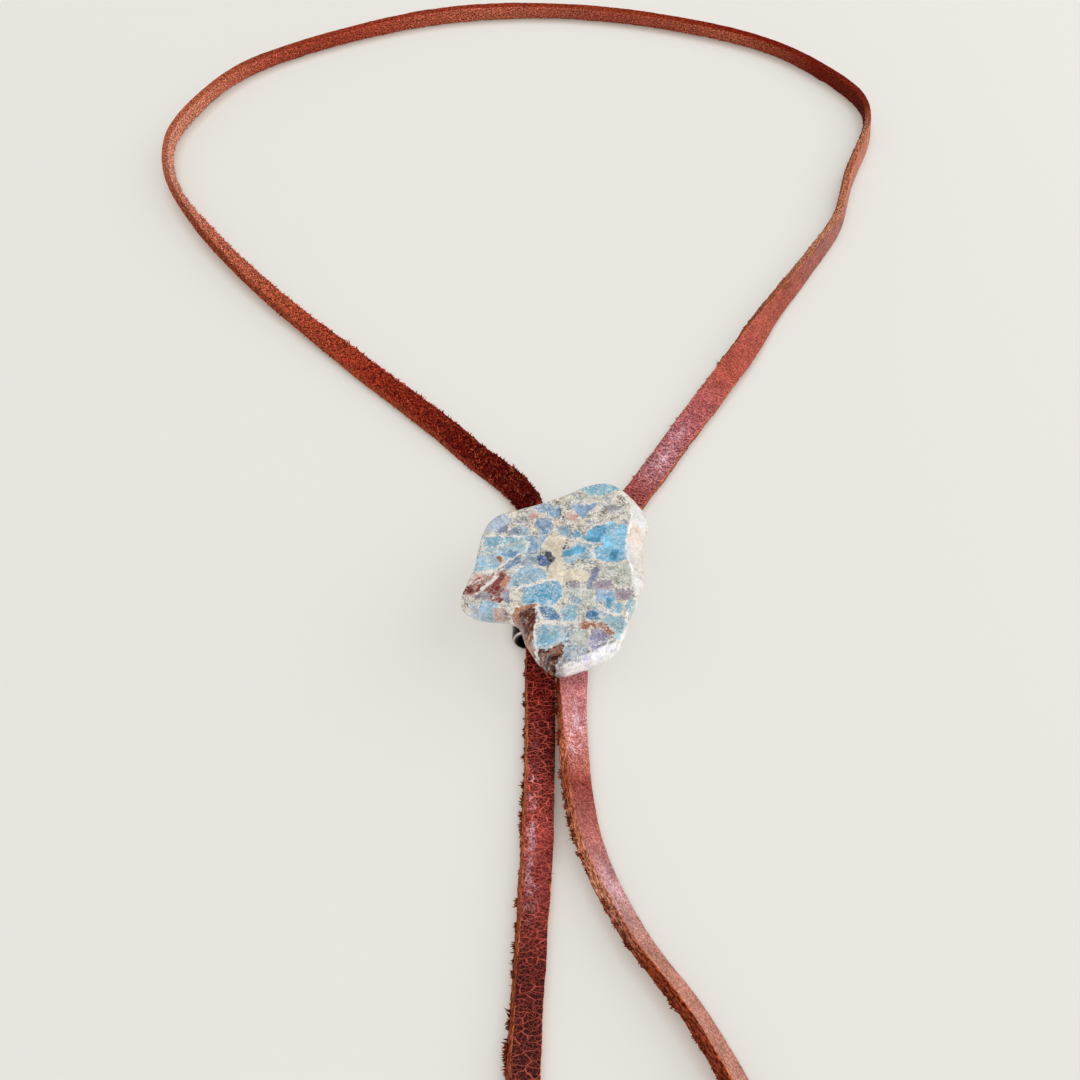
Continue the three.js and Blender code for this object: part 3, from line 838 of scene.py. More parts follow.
stone_x = STONE_MIDDLE[0] + all_reach * np.cos(turns)
stone_y = STONE_MIDDLE[1] + all_reach * np.sin(turns)
stone_z = np.minimum(ring_height[:, None], front_height(stone_x, stone_y))
stone_mm = np.stack([stone_x, stone_y, stone_z + STONE_BACK], -1)
rim = ramp(all_reach / reach, 0.93, 0.99) * (ring_height > 1)[:, None]
stone_mm[..., :2] += ((stone_mm[..., :2] - STONE_MIDDLE) / all_reach[..., None]) * (
    -RIM_SOFTENING * rim * (1 + noise(stone_mm, 1.4, 46)))[..., None]
front_middle = (*STONE_MIDDLE, STONE_BACK + front_height(*STONE_MIDDLE[:, None])[0])
back_middle = (*STONE_MIDDLE, STONE_BACK)
stone_flat = np.vstack([stone_mm.reshape(-1, 3), front_middle, back_middle])

ring_total = len(all_reach)
here = np.arange(STONE_TURNS)
after = (here + 1) % STONE_TURNS
front_tip, back_tip = (np.full(STONE_TURNS, ring_total * STONE_TURNS + k) for k in (0, 1))
front_fan = np.stack([front_tip, here, after], -1)
last_ring = (ring_total - 1) * STONE_TURNS
back_fan = np.stack([back_tip, last_ring + after, last_ring + here], -1)
stone_quads = rows_of_quads(ring_total, STONE_TURNS)[:, ::-1]
stone = mesh_from("jasper_slab", stone_flat * MM, stone_quads, np.vstack([front_fan, back_fan]))
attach(stone, "root")
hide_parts("stone_slab")

# %% [markdown]
# ### The stone's pattern
# A breccia is broken pieces in a fine cement, so the pattern is charted as pieces: each is an outline of a
# few points with a colour, painted in order like paper cut-outs. Noise bends the outlines, so none of them
# looks drawn. Each piece has a pale rim where the cement soaked in. Veins are thin lines on top.

# %% Name the stone's colours
STONE_COLOURS = {
    "cement": "cdc4b2", "clean cement": "dccfb8", "white": "ebe5dc", "lavender": "a3b4c8",
    "slate": "7c839a", "blue grey": "8aa2b2", "turquoise": "7aaec0", "pale turquoise": "90b8c4",
    "pale blue": "8fb6ca", "periwinkle": "7c9fbd", "deep periwinkle": "688cab", "sky": "7cbcd8",
    "deep sky": "559fc0", "strong blue": "62a6c4", "deep blue": "487da2", "navy": "42608a",
    "ink": "3c4250", "purple": "9a94b4", "mauve": "a0929c", "green grey": "b2b6a9", "grey": "8d8a8c",
    "rust": "a5623f", "pink": "c49c90", "dark rust": "4c1a0e", "dark red": "752220", "brown": "3c160e",
    "peach": "dcb9a0", "ice": "cfd8de", "charcoal": "4a4642", "umber": "7d7464", "lilac": "c9c6dc",
    "glint": "f6f4f2", "rose": "c8a49c",
}


def stone_tone(name):
    """A named stone colour in linear light."""
    return linear(STONE_COLOURS[name])


print(len(STONE_COLOURS), "stone colours")

# %% Chart the stone's pieces
# Each row: colour, how pale its rim is (0 to 1), then its outline's corners as x, y in mm.
STONE_PIECES = [
    ("blue grey", 0.9, (8, -80.4), (12, -80.2), (13, -84), (12, -87), (9, -88), (7.6, -84)),
    ("green grey", 0.9, (8.4, -72), (13, -72.6), (14, -78), (12, -80), (9.6, -80), (8, -76)),
    ("blue grey", 0.9, (14, -77), (17.6, -77.6), (15, -80), (13, -80)),
    ("green grey", 0.9, (-5, -61.2), (2, -61), (3, -66), (0, -69), (-6.4, -69)),
    ("clean cement", 0, (6.4, -61), (8.8, -61.8), (8.4, -64), (8.6, -66), (8, -68.6), (12.6, -69.4),
        (12.6, -71.2), (8.4, -71.4), (6.4, -70.4), (6, -68.6), (6.8, -66.6), (5.8, -64.6), (5.2, -63)),
    ("lavender", 0.5, (-5.2, -59.8), (-4.8, -57.8), (-3.5, -56.6), (-1.6, -56), (-0.9, -57.2),
        (-1.6, -58.4), (-2.2, -59.6), (-3.2, -60.2)),
    ("slate", 0, (-3.2, -60.3), (-2.4, -59.2), (-1.4, -58.9), (-1.6, -59.8), (-2.4, -60.4)),
    ("blue grey", 0.3, (-1, -60.4), (-0.6, -59.6), (0.4, -59.3), (1.1, -58.9), (2.3, -59.3), (2.9, -60.2),
        (2.6, -60.9), (0.8, -61), (-0.6, -61.1)),
    ("turquoise", 0.6, (-5.6, -63.4), (-5.3, -61.6), (-3.6, -61.6), (-1.5, -61.5), (1, -61.6),
        (2.8, -61.1), (2.2, -62), (1.2, -62.6), (-0.6, -62.9), (-2.2, -63.3), (-3.6, -63.8)),
    ("pale turquoise", 0.6, (-6.2, -65), (-4, -64.2), (-2.4, -63.8), (-0.5, -63.5), (2, -63.4),
        (2.2, -64.2), (1, -65.2), (0, -66), (-1.4, -66.6), (-2.6, -65.8), (-3.6, -65.2)),
    ("deep periwinkle", 0, (-2, -65.4), (-1, -64.8), (0.6, -64.6), (0, -65.6), (-1.2, -66.2)),
    ("pale blue", 0.5, (-7.2, -68.9), (-6.7, -66.5), (-5, -65.4), (-3.4, -65.4), (-2.8, -66.8),
        (-2.4, -67.8), (-3.4, -68.6), (-5, -69)),
    ("rust", 0, (-3, -66.2), (-2.6, -65.8), (-2.3, -66.4), (-2.6, -67)),
    ("deep periwinkle", 0.2, (-1.6, -68.8), (-0.8, -67.2), (0.6, -65.7), (1.4, -65.3), (1.1, -66.4),
        (0, -67.6), (-1, -68.6)),
    ("blue grey", 0.2, (1.6, -66.6), (2.6, -65.6), (3.8, -66), (4, -67.2), (2.8, -68), (1.4, -67.8)),
    ("periwinkle", 0.3, (2.9, -61.2), (4.2, -61.5), (5.6, -61.4), (4.8, -62.6), (4.4, -64), (3.6, -65.2),
        (2.4, -65.3), (2, -65), (2.8, -63.8)),
    ("periwinkle", 0.4, (3.4, -54.4), (5, -53.6), (6.6, -54), (8.1, -55), (8.2, -56.2), (7.8, -57.2),
        (6.6, -56.4), (6.2, -55.6), (4.4, -55.7)),
    ("pink", 0, (2.2, -56.4), (3.6, -56), (4, -56.8), (3, -57.2)),
    ("deep periwinkle", 0.4, (4.2, -57.3), (5.6, -57), (6.5, -57.8), (6.7, -59), (6.2, -60.4), (5, -61),
        (4.6, -60.4), (4.5, -59.2), (3.4, -58.8)),
    ("navy", 0, (4, -66.2), (4.6, -65.7), (5.2, -65.9), (5.4, -65.1), (6, -65.2), (6.7, -66.2),
        (6.6, -67), (5.8, -67.8), (5, -68.2), (4.2, -67.4)),
    ("ink", 0, (5.4, -65), (6, -64.8), (6.8, -66.2), (6.4, -67), (5.7, -66.4)),
    ("pale blue", 0.4, (-0.8, -71.4), (0, -70), (1, -69), (2.6, -68.4), (4.4, -68.6), (5.4, -69.4),
        (5.4, -70.4), (4.6, -71), (3, -71.8), (1.6, -72.6), (-0.4, -72.8)),
    ("strong blue", 0.5, (1.4, -75.2), (1.8, -73), (2.8, -72.4), (4.4, -71.9), (6, -71.4), (7.4, -71.6),
        (8.3, -72.6), (8, -74), (7.2, -75.4), (6.6, -76.6), (5.4, -76.9), (4.4, -76.2), (3, -76.2),
        (1.6, -76)),
    ("deep blue", 0.4, (4.2, -77.8), (4.8, -77), (6.2, -76.9), (7, -77.4), (7.9, -78.4), (8, -79.4),
        (6.8, -79.9), (5.6, -79.4), (4.9, -78.8)),
    ("pale blue", 0.3, (-6, -78.6), (-5.6, -76.4), (-4.6, -75.6), (-3.4, -75.3), (-2.6, -76.2),
        (-2.8, -77), (-3.4, -77.8), (-2.8, -78.8), (-3.6, -79.4), (-5, -79)),
    ("lavender", 0.5, (-8.6, -77.4), (-7.6, -76.4), (-6.3, -76.6), (-6, -77.8), (-6.8, -78.2), (-8, -78.2)),
    ("pink", 0.2, (-3.4, -78), (-3, -77.3), (-1.6, -77.5), (-0.6, -78.2), (-1, -79), (-2, -79.6)),
    ("dark red", 0.1, (-8.6, -74), (-8.2, -73), (-7, -71.8), (-6.2, -72.4), (-5, -71.8), (-4, -71.4),
        (-3.4, -73.4), (-5, -73.4), (-6.6, -74), (-7.6, -74.4)),
    ("pink", 0.3, (-7.6, -71.8), (-7, -70), (-6, -70), (-4.8, -70.4), (-3.8, -70.2), (-4.4, -71.4),
        (-5.6, -72)),
    ("dark red", 0, (-3.6, -71.6), (-2.8, -69.8), (-1.6, -69), (-1.8, -70.6), (-2.6, -72), (-2.4, -73.4),
        (-3.2, -74.2), (-3.4, -73)),
    ("rust", 0.2, (-1.6, -70.2), (-0.8, -70.6), (-1, -72), (-2, -72.8), (-2.2, -71.4)),
    ("grey", 0.1, (-6.8, -74.8), (-4.4, -73.8), (-3.6, -74.6), (-4.8, -75.2), (-6.4, -75.4)),
    ("slate", 0.2, (-2.6, -74.4), (-2.2, -73.4), (-1.4, -73.1), (-0.8, -74), (-0.6, -75), (-0.8, -76),
        (-1.8, -75.6)),
    ("dark red", 0, (-3.2, -75.2), (-2.8, -74.6), (-1.9, -75.8), (-2.4, -76)),
    ("rust", 0.4, (0, -79), (0.4, -77.8), (1.4, -77), (2.6, -76.5), (3.9, -76.4), (3.1, -77.8),
        (1.6, -78.2), (0.9, -78.8)),
    ("rust", 0, (0.2, -79.8), (0.8, -78.6), (1.8, -78.3), (2.2, -79.4), (1.6, -80.6), (0.8, -81)),
    ("dark rust", 0, (1, -79.4), (1.8, -78.4), (2.8, -77.4), (3.3, -77.6), (3.4, -79.4), (3.5, -80.4),
        (3.5, -82), (3.6, -84.6), (3.6, -86), (2.5, -84.4), (1.8, -82), (1.4, -80.6)),
    ("rust", 0, (2.2, -83), (3, -82.6), (3.2, -84), (3, -85.2), (2.4, -84.2)),
    ("pale blue", 0.6, (3.6, -84.4), (3.9, -82.2), (4.8, -81), (6.4, -80.7), (7.6, -81.2), (8, -82.2),
        (8.8, -83.2), (7.6, -84), (6.4, -84.4), (6.2, -85.6), (5.2, -86), (4.2, -85.4)),
    ("turquoise", 0.2, (4.6, -84), (5.2, -82.4), (7, -82.2), (7.8, -82.8), (7, -83.8), (6, -84.6),
        (5.2, -85)),
    ("dark rust", 0.1, (4, -86.9), (4.6, -85.9), (5.8, -85.6), (7, -85.3), (8, -84.3), (8.4, -84.8),
        (7.4, -86.2), (6.4, -86.9), (5.6, -87.9), (4.9, -88.2)),
    ("brown", 0, (5.3, -88.2), (6.2, -86.9), (7.2, -86), (7.8, -85.3), (8, -86.4), (7.4, -87.6),
        (6.8, -89.4), (5.6, -89)),
    ("grey", 0.1, (7.4, -89.4), (7.8, -87.6), (8.4, -86.8), (8.4, -88), (7.9, -89.6)),
    ("blue grey", 0.2, (8.6, -86.2), (9.2, -84.9), (10.2, -84.8), (10, -86), (9.2, -86.9)),
    ("turquoise", 0.4, (8.2, -79.2), (8.3, -77.6), (9.2, -76.8), (10, -76.2), (10.7, -77), (10.6, -78.4),
        (10.2, -79.6), (9.4, -79.9), (8.6, -79.8)),
    ("blue grey", 0.2, (9.5, -75.9), (10.1, -74.8), (11, -74.9), (11.9, -75.6), (11.6, -76.3),
        (10.4, -76.2)),
    ("grey", 0.2, (9.8, -72.2), (11.2, -71.9), (11.2, -72.8), (10.2, -73)),
    ("periwinkle", 0.3, (14.2, -75.8), (14.3, -74), (15, -73.4), (16, -73.2), (17.2, -73.6), (17.4, -75),
        (17, -76.8), (16, -77), (15, -76)),
    ("strong blue", 0, (16, -75.6), (17, -75.2), (17.1, -76.4), (16.4, -76.9), (15.8, -76.4)),
    ("mauve", 0.2, (17.2, -73.2), (19.2, -73), (20.4, -73.8), (19.4, -75.2), (17.8, -75.4)),
    ("turquoise", 0.4, (17.2, -76.3), (18.6, -76.5), (19, -77.4), (18, -78), (17, -77.6)),
    ("pale turquoise", 0.3, (19.4, -76), (20, -75.2), (20.8, -76), (20.7, -77.6), (19.9, -78.2),
        (19.4, -77)),
    ("deep blue", 0.3, (12.4, -78.8), (13, -78.1), (14, -78), (14.4, -79), (14.7, -79.4), (13.6, -79.9),
        (12.8, -79.5)),
    ("pale turquoise", 0.3, (14.8, -80), (15.6, -79.2), (17, -79), (18.6, -78.6), (18.8, -80.4),
        (18, -82.4), (17.4, -83.4), (16.6, -83.2), (16.2, -81.6)),
    ("rust", 0.6, (11.2, -80.4), (12.4, -79.9), (14, -80.1), (15.6, -80.9), (16.4, -82.4), (15.8, -83.4),
        (14.6, -81.6), (13, -81.2), (11.8, -81.2)),
    ("purple", 0.6, (12.4, -83.8), (12.8, -82.2), (13.6, -81.6), (14.8, -81.8), (15.6, -83),
        (15.4, -84.2), (14.6, -85.6), (13.4, -85.6), (12.6, -84.8)),
    ("green grey", 0.2, (10.2, -83.8), (10.8, -82.2), (12.2, -82), (12.4, -83.6), (11.8, -85),
        (10.6, -84.8)),
    ("turquoise", 0.4, (12, -50), (12.8, -49), (15, -47.9), (17.4, -47.6), (19.4, -48.8), (19.4, -49.6),
        (18.6, -50.3), (17.6, -50.1), (17, -50.6), (15.8, -51.1), (14.4, -51.3), (13.6, -51.2),
        (13, -50.3)),
    ("periwinkle", 0.2, (10.8, -54), (12.2, -53.9), (13.6, -53.8), (15.2, -53.5), (14.4, -54.6),
        (13.2, -55.4), (12.7, -56.4), (12.2, -57), (11.4, -56.2), (10.8, -55)),
    ("pink", 0.2, (9.2, -56.2), (10.1, -55.6), (11, -56.5), (10.9, -57.5), (9.6, -57.4)),
    ("blue grey", 0.3, (7.8, -59.5), (8.6, -58.9), (9.8, -59.3), (10.1, -60.4), (9.6, -61.5),
        (8.6, -61.1), (8, -60.3)),
    ("strong blue", 0.1, (10.2, -60.9), (11, -60.3), (11.8, -60.8), (12, -61.5), (11, -61.8),
        (10.4, -61.4)),
    ("sky", 0.3, (14.4, -62.6), (15.6, -61), (16.2, -59.2), (17, -58.3), (19.8, -58.9), (20, -61),
        (19.6, -63), (19.6, -66.2), (18.6, -66.7), (17, -67), (15, -66.7), (14.2, -65.2), (14.7, -64),
        (15.8, -63.2)),
    ("deep sky", 0.1, (12, -61.5), (13.2, -60.9), (13.4, -59.7), (14.6, -59), (16.6, -58.8), (16, -60.6),
        (14.8, -62.5), (13, -62.3)),
    ("deep sky", 0, (16.6, -66.4), (17, -64.8), (18.4, -64.4), (18, -66), (17.2, -66.8)),
    ("pale blue", 0.5, (8.7, -65.6), (8.9, -64.3), (10, -64), (11, -63), (12.4, -62.7), (13.4, -63.4),
        (13.8, -65), (13.2, -66.1), (11.8, -66.3), (11.2, -65.7), (10.8, -66.8), (9.6, -67.4), (8.7, -67)),
    ("strong blue", 0, (9, -65), (10.4, -64.4), (11.4, -63.6), (12.6, -64), (12.4, -64.9), (11, -65),
        (10, -65.6), (9, -65.8)),
    ("green grey", 0.8, (14.8, -68.2), (16, -67.6), (19.9, -67.4), (20.4, -70), (20.4, -72.4),
        (18, -72.2), (16, -71), (14.9, -70)),
    ("slate", 0.1, (13.2, -71.2), (13.6, -69), (14.4, -68.2), (14.7, -68.8), (14.2, -70.4), (13.6, -71.4),
        (13.6, -73.2), (12.9, -73), (12.9, -72)),
    ("mauve", 0.1, (14, -72), (15, -71), (16.6, -71.6), (17, -72.8), (15.4, -73.3), (14.2, -73.2)),
    ("grey", 0.2, (16.4, -54.4), (18, -54), (19.4, -54.4), (18.8, -55.1), (17, -55.1)),
    ("peach", 0.4, (20.6, -63.6), (20.9, -61), (22, -60.4), (22.4, -61.8), (21.4, -64)),
    ("lavender", 0.3, (20, -62), (20.5, -62.2), (20.9, -65.6), (20.6, -67.4), (20.1, -66)),
    ("pink", 0.3, (22.6, -55.2), (23.6, -54.2), (23.8, -55), (23, -55.8)),
    ("ice", 0.2, (21, -70.6), (22.8, -70.4), (22.4, -73.4), (21.4, -73.4)),
    ("ice", 0.2, (21.4, -55), (22.4, -53.4), (23.6, -56.6), (22.6, -58.4), (21.6, -57.4)),
]
print(len(STONE_PIECES), "pieces charted")

# %% Chart the stone's veins and streaks
# Each row: colour, half its width in mm, then the points it runs through as x, y in mm.
STONE_VEINS = [
    ("white", 0.26, (0.4, -73.6), (1.4, -72.6), (3, -72.2), (4.4, -71.5), (6.2, -70.9), (7.6, -71.1)),
    ("white", 0.22, (-5.2, -69.7), (-3.4, -69.1), (-1.8, -67.7), (0.4, -65.8), (2, -64.7), (2.8, -62.6)),
    ("white", 0.2, (-5, -61.2), (-2.6, -61.2), (0.6, -61.3), (2.8, -60.9)),
    ("charcoal", 0.09, (-5.8, -72.2), (-4, -70.3), (-2, -68.4), (-0.4, -66.7), (1.3, -65.4)),
    ("white", 0.18, (4.2, -86.6), (3.8, -84.8), (3.7, -82), (3.8, -80.5), (4.6, -80.2)),
    ("white", 0.26, (4, -80.4), (5, -80.1), (8, -80.1), (9, -80.8)),
    ("white", 0.2, (4.1, -77), (4.1, -78.6), (4.9, -79.8), (7, -80.2)),
    ("dark red", 0.17, (8.1, -58.1), (9.6, -58.7), (10.6, -59.1), (11.4, -59.1)),
    ("charcoal", 0.1, (10.3, -59.4), (10.2, -60.6), (9.3, -61.8), (9.1, -63), (8.6, -64.6), (8.6, -66)),
    ("grey", 0.12, (13.2, -64), (14.2, -63.2), (15.4, -63.1)),
    ("white", 0.16, (14, -63), (13.9, -65), (14.4, -67)),
    ("rust", 0.13, (13.6, -76.4), (12.6, -77.8), (11.7, -79), (11.2, -80.6)),
    ("charcoal", 0.12, (14.1, -56), (15, -55.9), (16.3, -55.7), (16.7, -55.2), (16.1, -53.9)),
    ("grey", 0.2, (16.4, -57.9), (17.2, -57.4), (18.6, -56.6), (20.3, -55.4)),
    ("charcoal", 0.1, (8.2, -54.9), (8.3, -56.2), (7.9, -57.3)),
    ("rust", 0.16, (-6.6, -73), (-5.4, -71.6), (-4.6, -70.2)),
    ("dark red", 0.14, (-3.8, -75.2), (-3.4, -73.6), (-3.8, -72.2)),
    ("mauve", 0.2, (-1.6, -58.6), (0, -57.8), (1.4, -57.6)),
    ("slate", 0.18, (16.8, -67.3), (18.2, -67.2), (19.4, -66.6)),
    ("charcoal", 0.09, (0.2, -75.6), (-0.6, -76.4), (-1.4, -75.8)),
    ("white", 0.2, (19.2, -78.4), (18, -78.5), (16, -78), (14.6, -77.2)),
    ("grey", 0.12, (9.2, -72.4), (9.8, -73.8), (9.6, -75), (8.2, -77)),
    ("charcoal", 0.09, (12, -86.2), (13, -85.6), (14.6, -85), (15.3, -84.6)),
]
# Each row: colour, the streaks' direction in degrees, then the outline's corners as x, y in mm.
STONE_STREAKS = [
    ("rose", 48, (-9, -75), (-7.4, -69.6), (-3.6, -69), (-1, -69), (-1, -73), (-2.6, -75.8), (-6, -75)),
    ("dark red", 48, (-8.9, -74.6), (-8, -71.4), (-6, -70.2), (-3.6, -71), (-2.4, -69.4), (-1.2, -70),
        (-1.6, -73), (-3, -75.4), (-6, -74)),
    ("white", 50, (-7, -73), (-4.6, -69.6), (-2.6, -70), (-3.4, -73.4), (-5, -74.6)),
    ("dark red", 52, (-8.6, -73.8), (-6.4, -71.4), (-4.6, -71.2), (-6.2, -73.6)),
    ("rust", 66, (0.2, -77), (3.8, -76.2), (3.5, -80), (3.6, -86.6), (1.2, -81)),
    ("brown", 66, (0.8, -78), (3.2, -77), (3.5, -82), (3.4, -86), (1, -80)),
    ("rust", 35, (4.4, -88.2), (4.6, -86.2), (8, -84.6), (8, -86.4), (6.4, -88.6)),
]
print(len(STONE_VEINS), "veins and", len(STONE_STREAKS), "streaked areas charted")


# %% Distances to the charted outlines
NEARBY = 1  # mm round a piece's corners that its rim and its bends can reach


def inside_by(points, corners):
    """How far inside a closed outline each point is, negative outside: the distance to its nearest side,
    with the sign from whether a line to the right crosses the outline an odd number of times."""
    a = np.array(corners, float)
    b = np.roll(a, -1, axis=0)
    from_a = points[:, None] - a
    step = b - a
    share = np.clip((from_a * step).sum(-1) / (step**2).sum(-1), 0, 1)
    gap = np.linalg.norm(from_a - share[..., None] * step, axis=-1).min(1)
    straddles = (a[:, 1] > points[:, None, 1]) != (b[:, 1] > points[:, None, 1])
    rise = np.where(step[:, 1] == 0, 1e-9, step[:, 1])
    crossing = a[:, 0] + from_a[..., 1] * step[:, 0] / rise
    odd = (straddles & (points[:, None, 0] < crossing)).sum(1) % 2 == 1
    return np.where(odd, gap, -gap)


def vein_gap(points, line):
    """The distance from each point to an open line through the given points."""
    line = np.array(line, float)
    a, step = line[:-1], np.diff(line, axis=0)
    from_a = points[:, None] - a
    share = np.clip((from_a * step).sum(-1) / (step**2).sum(-1), 0, 1)
    return np.linalg.norm(from_a - share[..., None] * step, axis=-1).min(1)


def close_to(points, corners, reach):
    """Which points are inside the corners' upright rectangle, made larger by reach on every side."""
    low, high = np.min(corners, axis=0) - reach, np.max(corners, axis=0) + reach
    return np.flatnonzero(((points > low) & (points < high)).all(axis=1))


square_depth = inside_by(np.array([(1.0, 1.0)]), [(0, 0), (2, 0), (2, 2), (0, 2)])[0]
print("The middle of a 2 mm square is", square_depth, "mm inside it")

# %% [markdown]
# The cement comes first, all over the stone. It is crushed rock, so the plane is cut into small irregular
# cells and each takes one of a few colours, with dark seams between some of them and hair cracks over them.

# %% Paint the cement
# The cement's crushed bits: a colour for each bit whose own number is in that range. Other bits stay plain.
BIT_COLOURS = [
    ("clean cement", 0.0, 0.35), ("blue grey", 0.45, 0.6), ("green grey", 0.6, 0.75), ("grey", 0.92, 1),
]


def shards(place, size, seed):
    """Cuts the plane into irregular cells, each round one point set at random in its square of a grid. Gives
    each place its second nearest such point's distance less the nearest's, and its cell's own number."""
    flat = place[:, :2] / size
    held = np.random.default_rng(seed).random((64, 64, 3))
    near, second, value = np.full(len(flat), 9.0), np.full(len(flat), 9.0), np.zeros(len(flat))
    for step in np.ndindex(3, 3):
        square = np.floor(flat).astype(int) + step - (1, 1)
        chosen = held[square[:, 0] % 64, square[:, 1] % 64]
        gap = np.linalg.norm(square + chosen[:, :2] - flat, axis=1)
        second = np.minimum(second, np.maximum(near, gap))
        value = np.where(gap < near, chosen[:, 2], value)
        near = np.minimum(near, gap)
    return (second - near) * size, value


def cement_paint(place, cloud, fleck):
    """The cement's colour: small crushed bits in cream, green grey and blue grey, some with dark seams, and
    hair cracks where a noise passes zero."""
    paint = blend(stone_tone("cement"), stone_tone("green grey"), ramp(cloud + 0.7 * fleck, -0.1, 0.9) * 0.6)
    bluish = ramp(noise(place, 2.4, 62) + 0.6 * noise(place, 0.9, 63), 0.0, 0.9)
    paint = blend(paint, stone_tone("blue grey"), bluish * 0.5)
    patchy = ramp(noise(place, 1.9, 85), -0.4, 0.4)
    for size, seed, most in ((1.15, 91, 0.75), (0.6, 92, 0.5)):
        gap, value = shards(place, size, seed)
        for name, low, high in BIT_COLOURS:
            paint = blend(paint, stone_tone(name), most * ((value >= low) & (value < high)))
        paint = blend(paint, stone_tone("umber"), (1 - ramp(gap, 0.05, 0.22)) * patchy * most * 0.6)
    specks = noise(place, 0.42, 59) + 0.5 * noise(place, 1.9, 60)
    paint = blend(paint, stone_tone("charcoal"), ramp(specks, 0.55, 0.85) * 0.5)
    for cell, seed, colour, most in ((0.9, 67, "white", 0.85), (1.7, 69, "charcoal", 0.75)):
        line = abs(noise(place, cell, seed) + 0.4 * noise(place, cell * 0.4, seed + 1))
        patchy = ramp(noise(place, 2.3, seed + 20), -0.3, 0.4)
        paint = blend(paint, stone_tone(colour), (1 - ramp(line, 0.04, 0.13)) * patchy * most)
    return paint


jitter = np.c_[noise(stone_flat, 0.7, 81), noise(stone_flat, 0.7, 82), np.zeros(len(stone_flat))] * 0.3
place = stone_flat + jitter
cloud, fleck = noise(place, 1.6, 57), noise(place, 0.42, 58)
cement = cement_paint(place, cloud, fleck)
print("The cement's mean colour is", np.round(cement.mean(0), 3))

# %% [markdown]
# The pieces are laid on the cement in the chart's order. A piece is filled where its outline's distance,
# frayed by a fine noise, is positive. Just outside that it has its white rim. Its own colour is shaded by
# noise and by flat shards, and the paler its chart says it is, the more cement shows through.

# %% Lay the pieces
PIECE_GROWTH = 0.22  # mm that every piece grows past its charted corners, so that neighbours nearly touch
# The noises that bend every outline: cell and size in mm.
OUTLINE_BENDS = [(1.9, 0.30), (0.8, 0.26), (0.36, 0.14)]

bend = np.stack([
    sum(noise(stone_flat, cell, seed + k) * size for k, (cell, size) in enumerate(OUTLINE_BENDS))
    for seed in (51, 54)
], -1)
plan = stone_flat[:, :2] + bend
fray = noise(place, 0.6, 71) * 0.20 + noise(place, 0.3, 72) * 0.14
patchy = ramp(noise(place, 1.2, 73), -0.6, 0.4)
clots = ramp(fleck + 0.8 * noise(place, 0.9, 61), 0.15, 0.95)
haze = ramp(noise(place, 0.75, 83) + 0.6 * noise(place, 0.3, 84), -0.1, 0.9)
seam, shard_value = shards(place, 1.7, 93)
seams = (1 - ramp(seam, 0.05, 0.25)) * ramp(noise(place, 1.4, 86), -0.2, 0.5)
shade = np.exp(0.24 * cloud + 0.20 * fleck + 0.36 * (shard_value - 0.5))
paint = cement.copy()
bare = np.ones(len(place))  # how much of each point is cement
for name, pale, *corners in STONE_PIECES:
    spot = close_to(plan, corners, NEARBY)
    depth = inside_by(plan[spot], corners) + fray[spot] + PIECE_GROWTH
    colour = stone_tone(name) * shade[spot, None]
    colour = blend(colour, stone_tone("ice"), clots[spot] * (0.02 + 0.6 * pale))
    inner = haze[spot] * (0.02 + 0.42 * pale + (0.12 + 0.78 * pale) * (1 - ramp(depth, 0.0, 0.7)))
    colour = blend(colour, cement[spot], np.minimum(inner + seams[spot] * pale, 0.85))
    outer = ramp(depth, -0.34, -0.12) * (0.25 + min(pale, 0.5)) * patchy[spot]
    filled = ramp(depth, -0.16, 0.18)
    paint[spot] = blend(blend(paint[spot], stone_tone("white"), outer), colour, filled)
    bare[spot] = bare[spot] * (1 - filled) + 0.6 * pale * filled
# White specks: partly real white grains in the stone and partly painted glints.
specks_and_glints = ramp(noise(place, 0.36, 74) + 0.35 * noise(place, 1.4, 75), 0.72, 0.86)
paint = blend(paint, stone_tone("white"), specks_and_glints * 0.75)
print(f"Cement is left on {bare.mean():.0%} of the stone's points")

# %% Lay the streaks and veins
for name, angle, *corners in STONE_STREAKS:
    spot = close_to(plan, corners, NEARBY)
    depth = inside_by(plan[spot], corners) + 2 * fray[spot]
    c, s = math.cos(math.radians(angle)), math.sin(math.radians(angle))
    x, y = plan[spot].T
    # The noise is drawn out six times along the streaks' direction.
    lines = np.stack([(x * c + y * s) / 6, y * c - x * s, np.full(len(spot), angle)], -1)
    strength = noise(lines, 0.34, 76) + 0.5 * noise(lines, 0.17, 77)
    shown = ramp(strength, -0.1, 0.4) * ramp(depth, -0.2, 0.4) * 0.9
    paint[spot] = blend(paint[spot], stone_tone(name), shown)
for name, half, *line in STONE_VEINS:
    spot = close_to(plan, line, NEARBY)
    gap = vein_gap(plan[spot], line) + fray[spot] * 0.9
    paint[spot] = blend(paint[spot], stone_tone(name), 0.8 * (1 - ramp(gap, half * 0.5, half * 1.5)))
print("Streaks and veins are on")

# %% [markdown]
# The ground edges on the right are painted with light. The bevel gets a pale wash of peach and ice, partly
# its own colour and partly painted light where it faces the lamp; a painted white highlight runs along its
# ridge; and the steep lower cut gets a painted white and lilac reflection.

# %% Paint light on the ground edges
POLISH_DEPTH = 0.96  # what the charted colours are multiplied by, as a polish deepens them

paint = paint * POLISH_DEPTH
past_ridge = place[:, 0] - np.interp(place[:, 1], RIDGE[:, 0], RIDGE[:, 1])
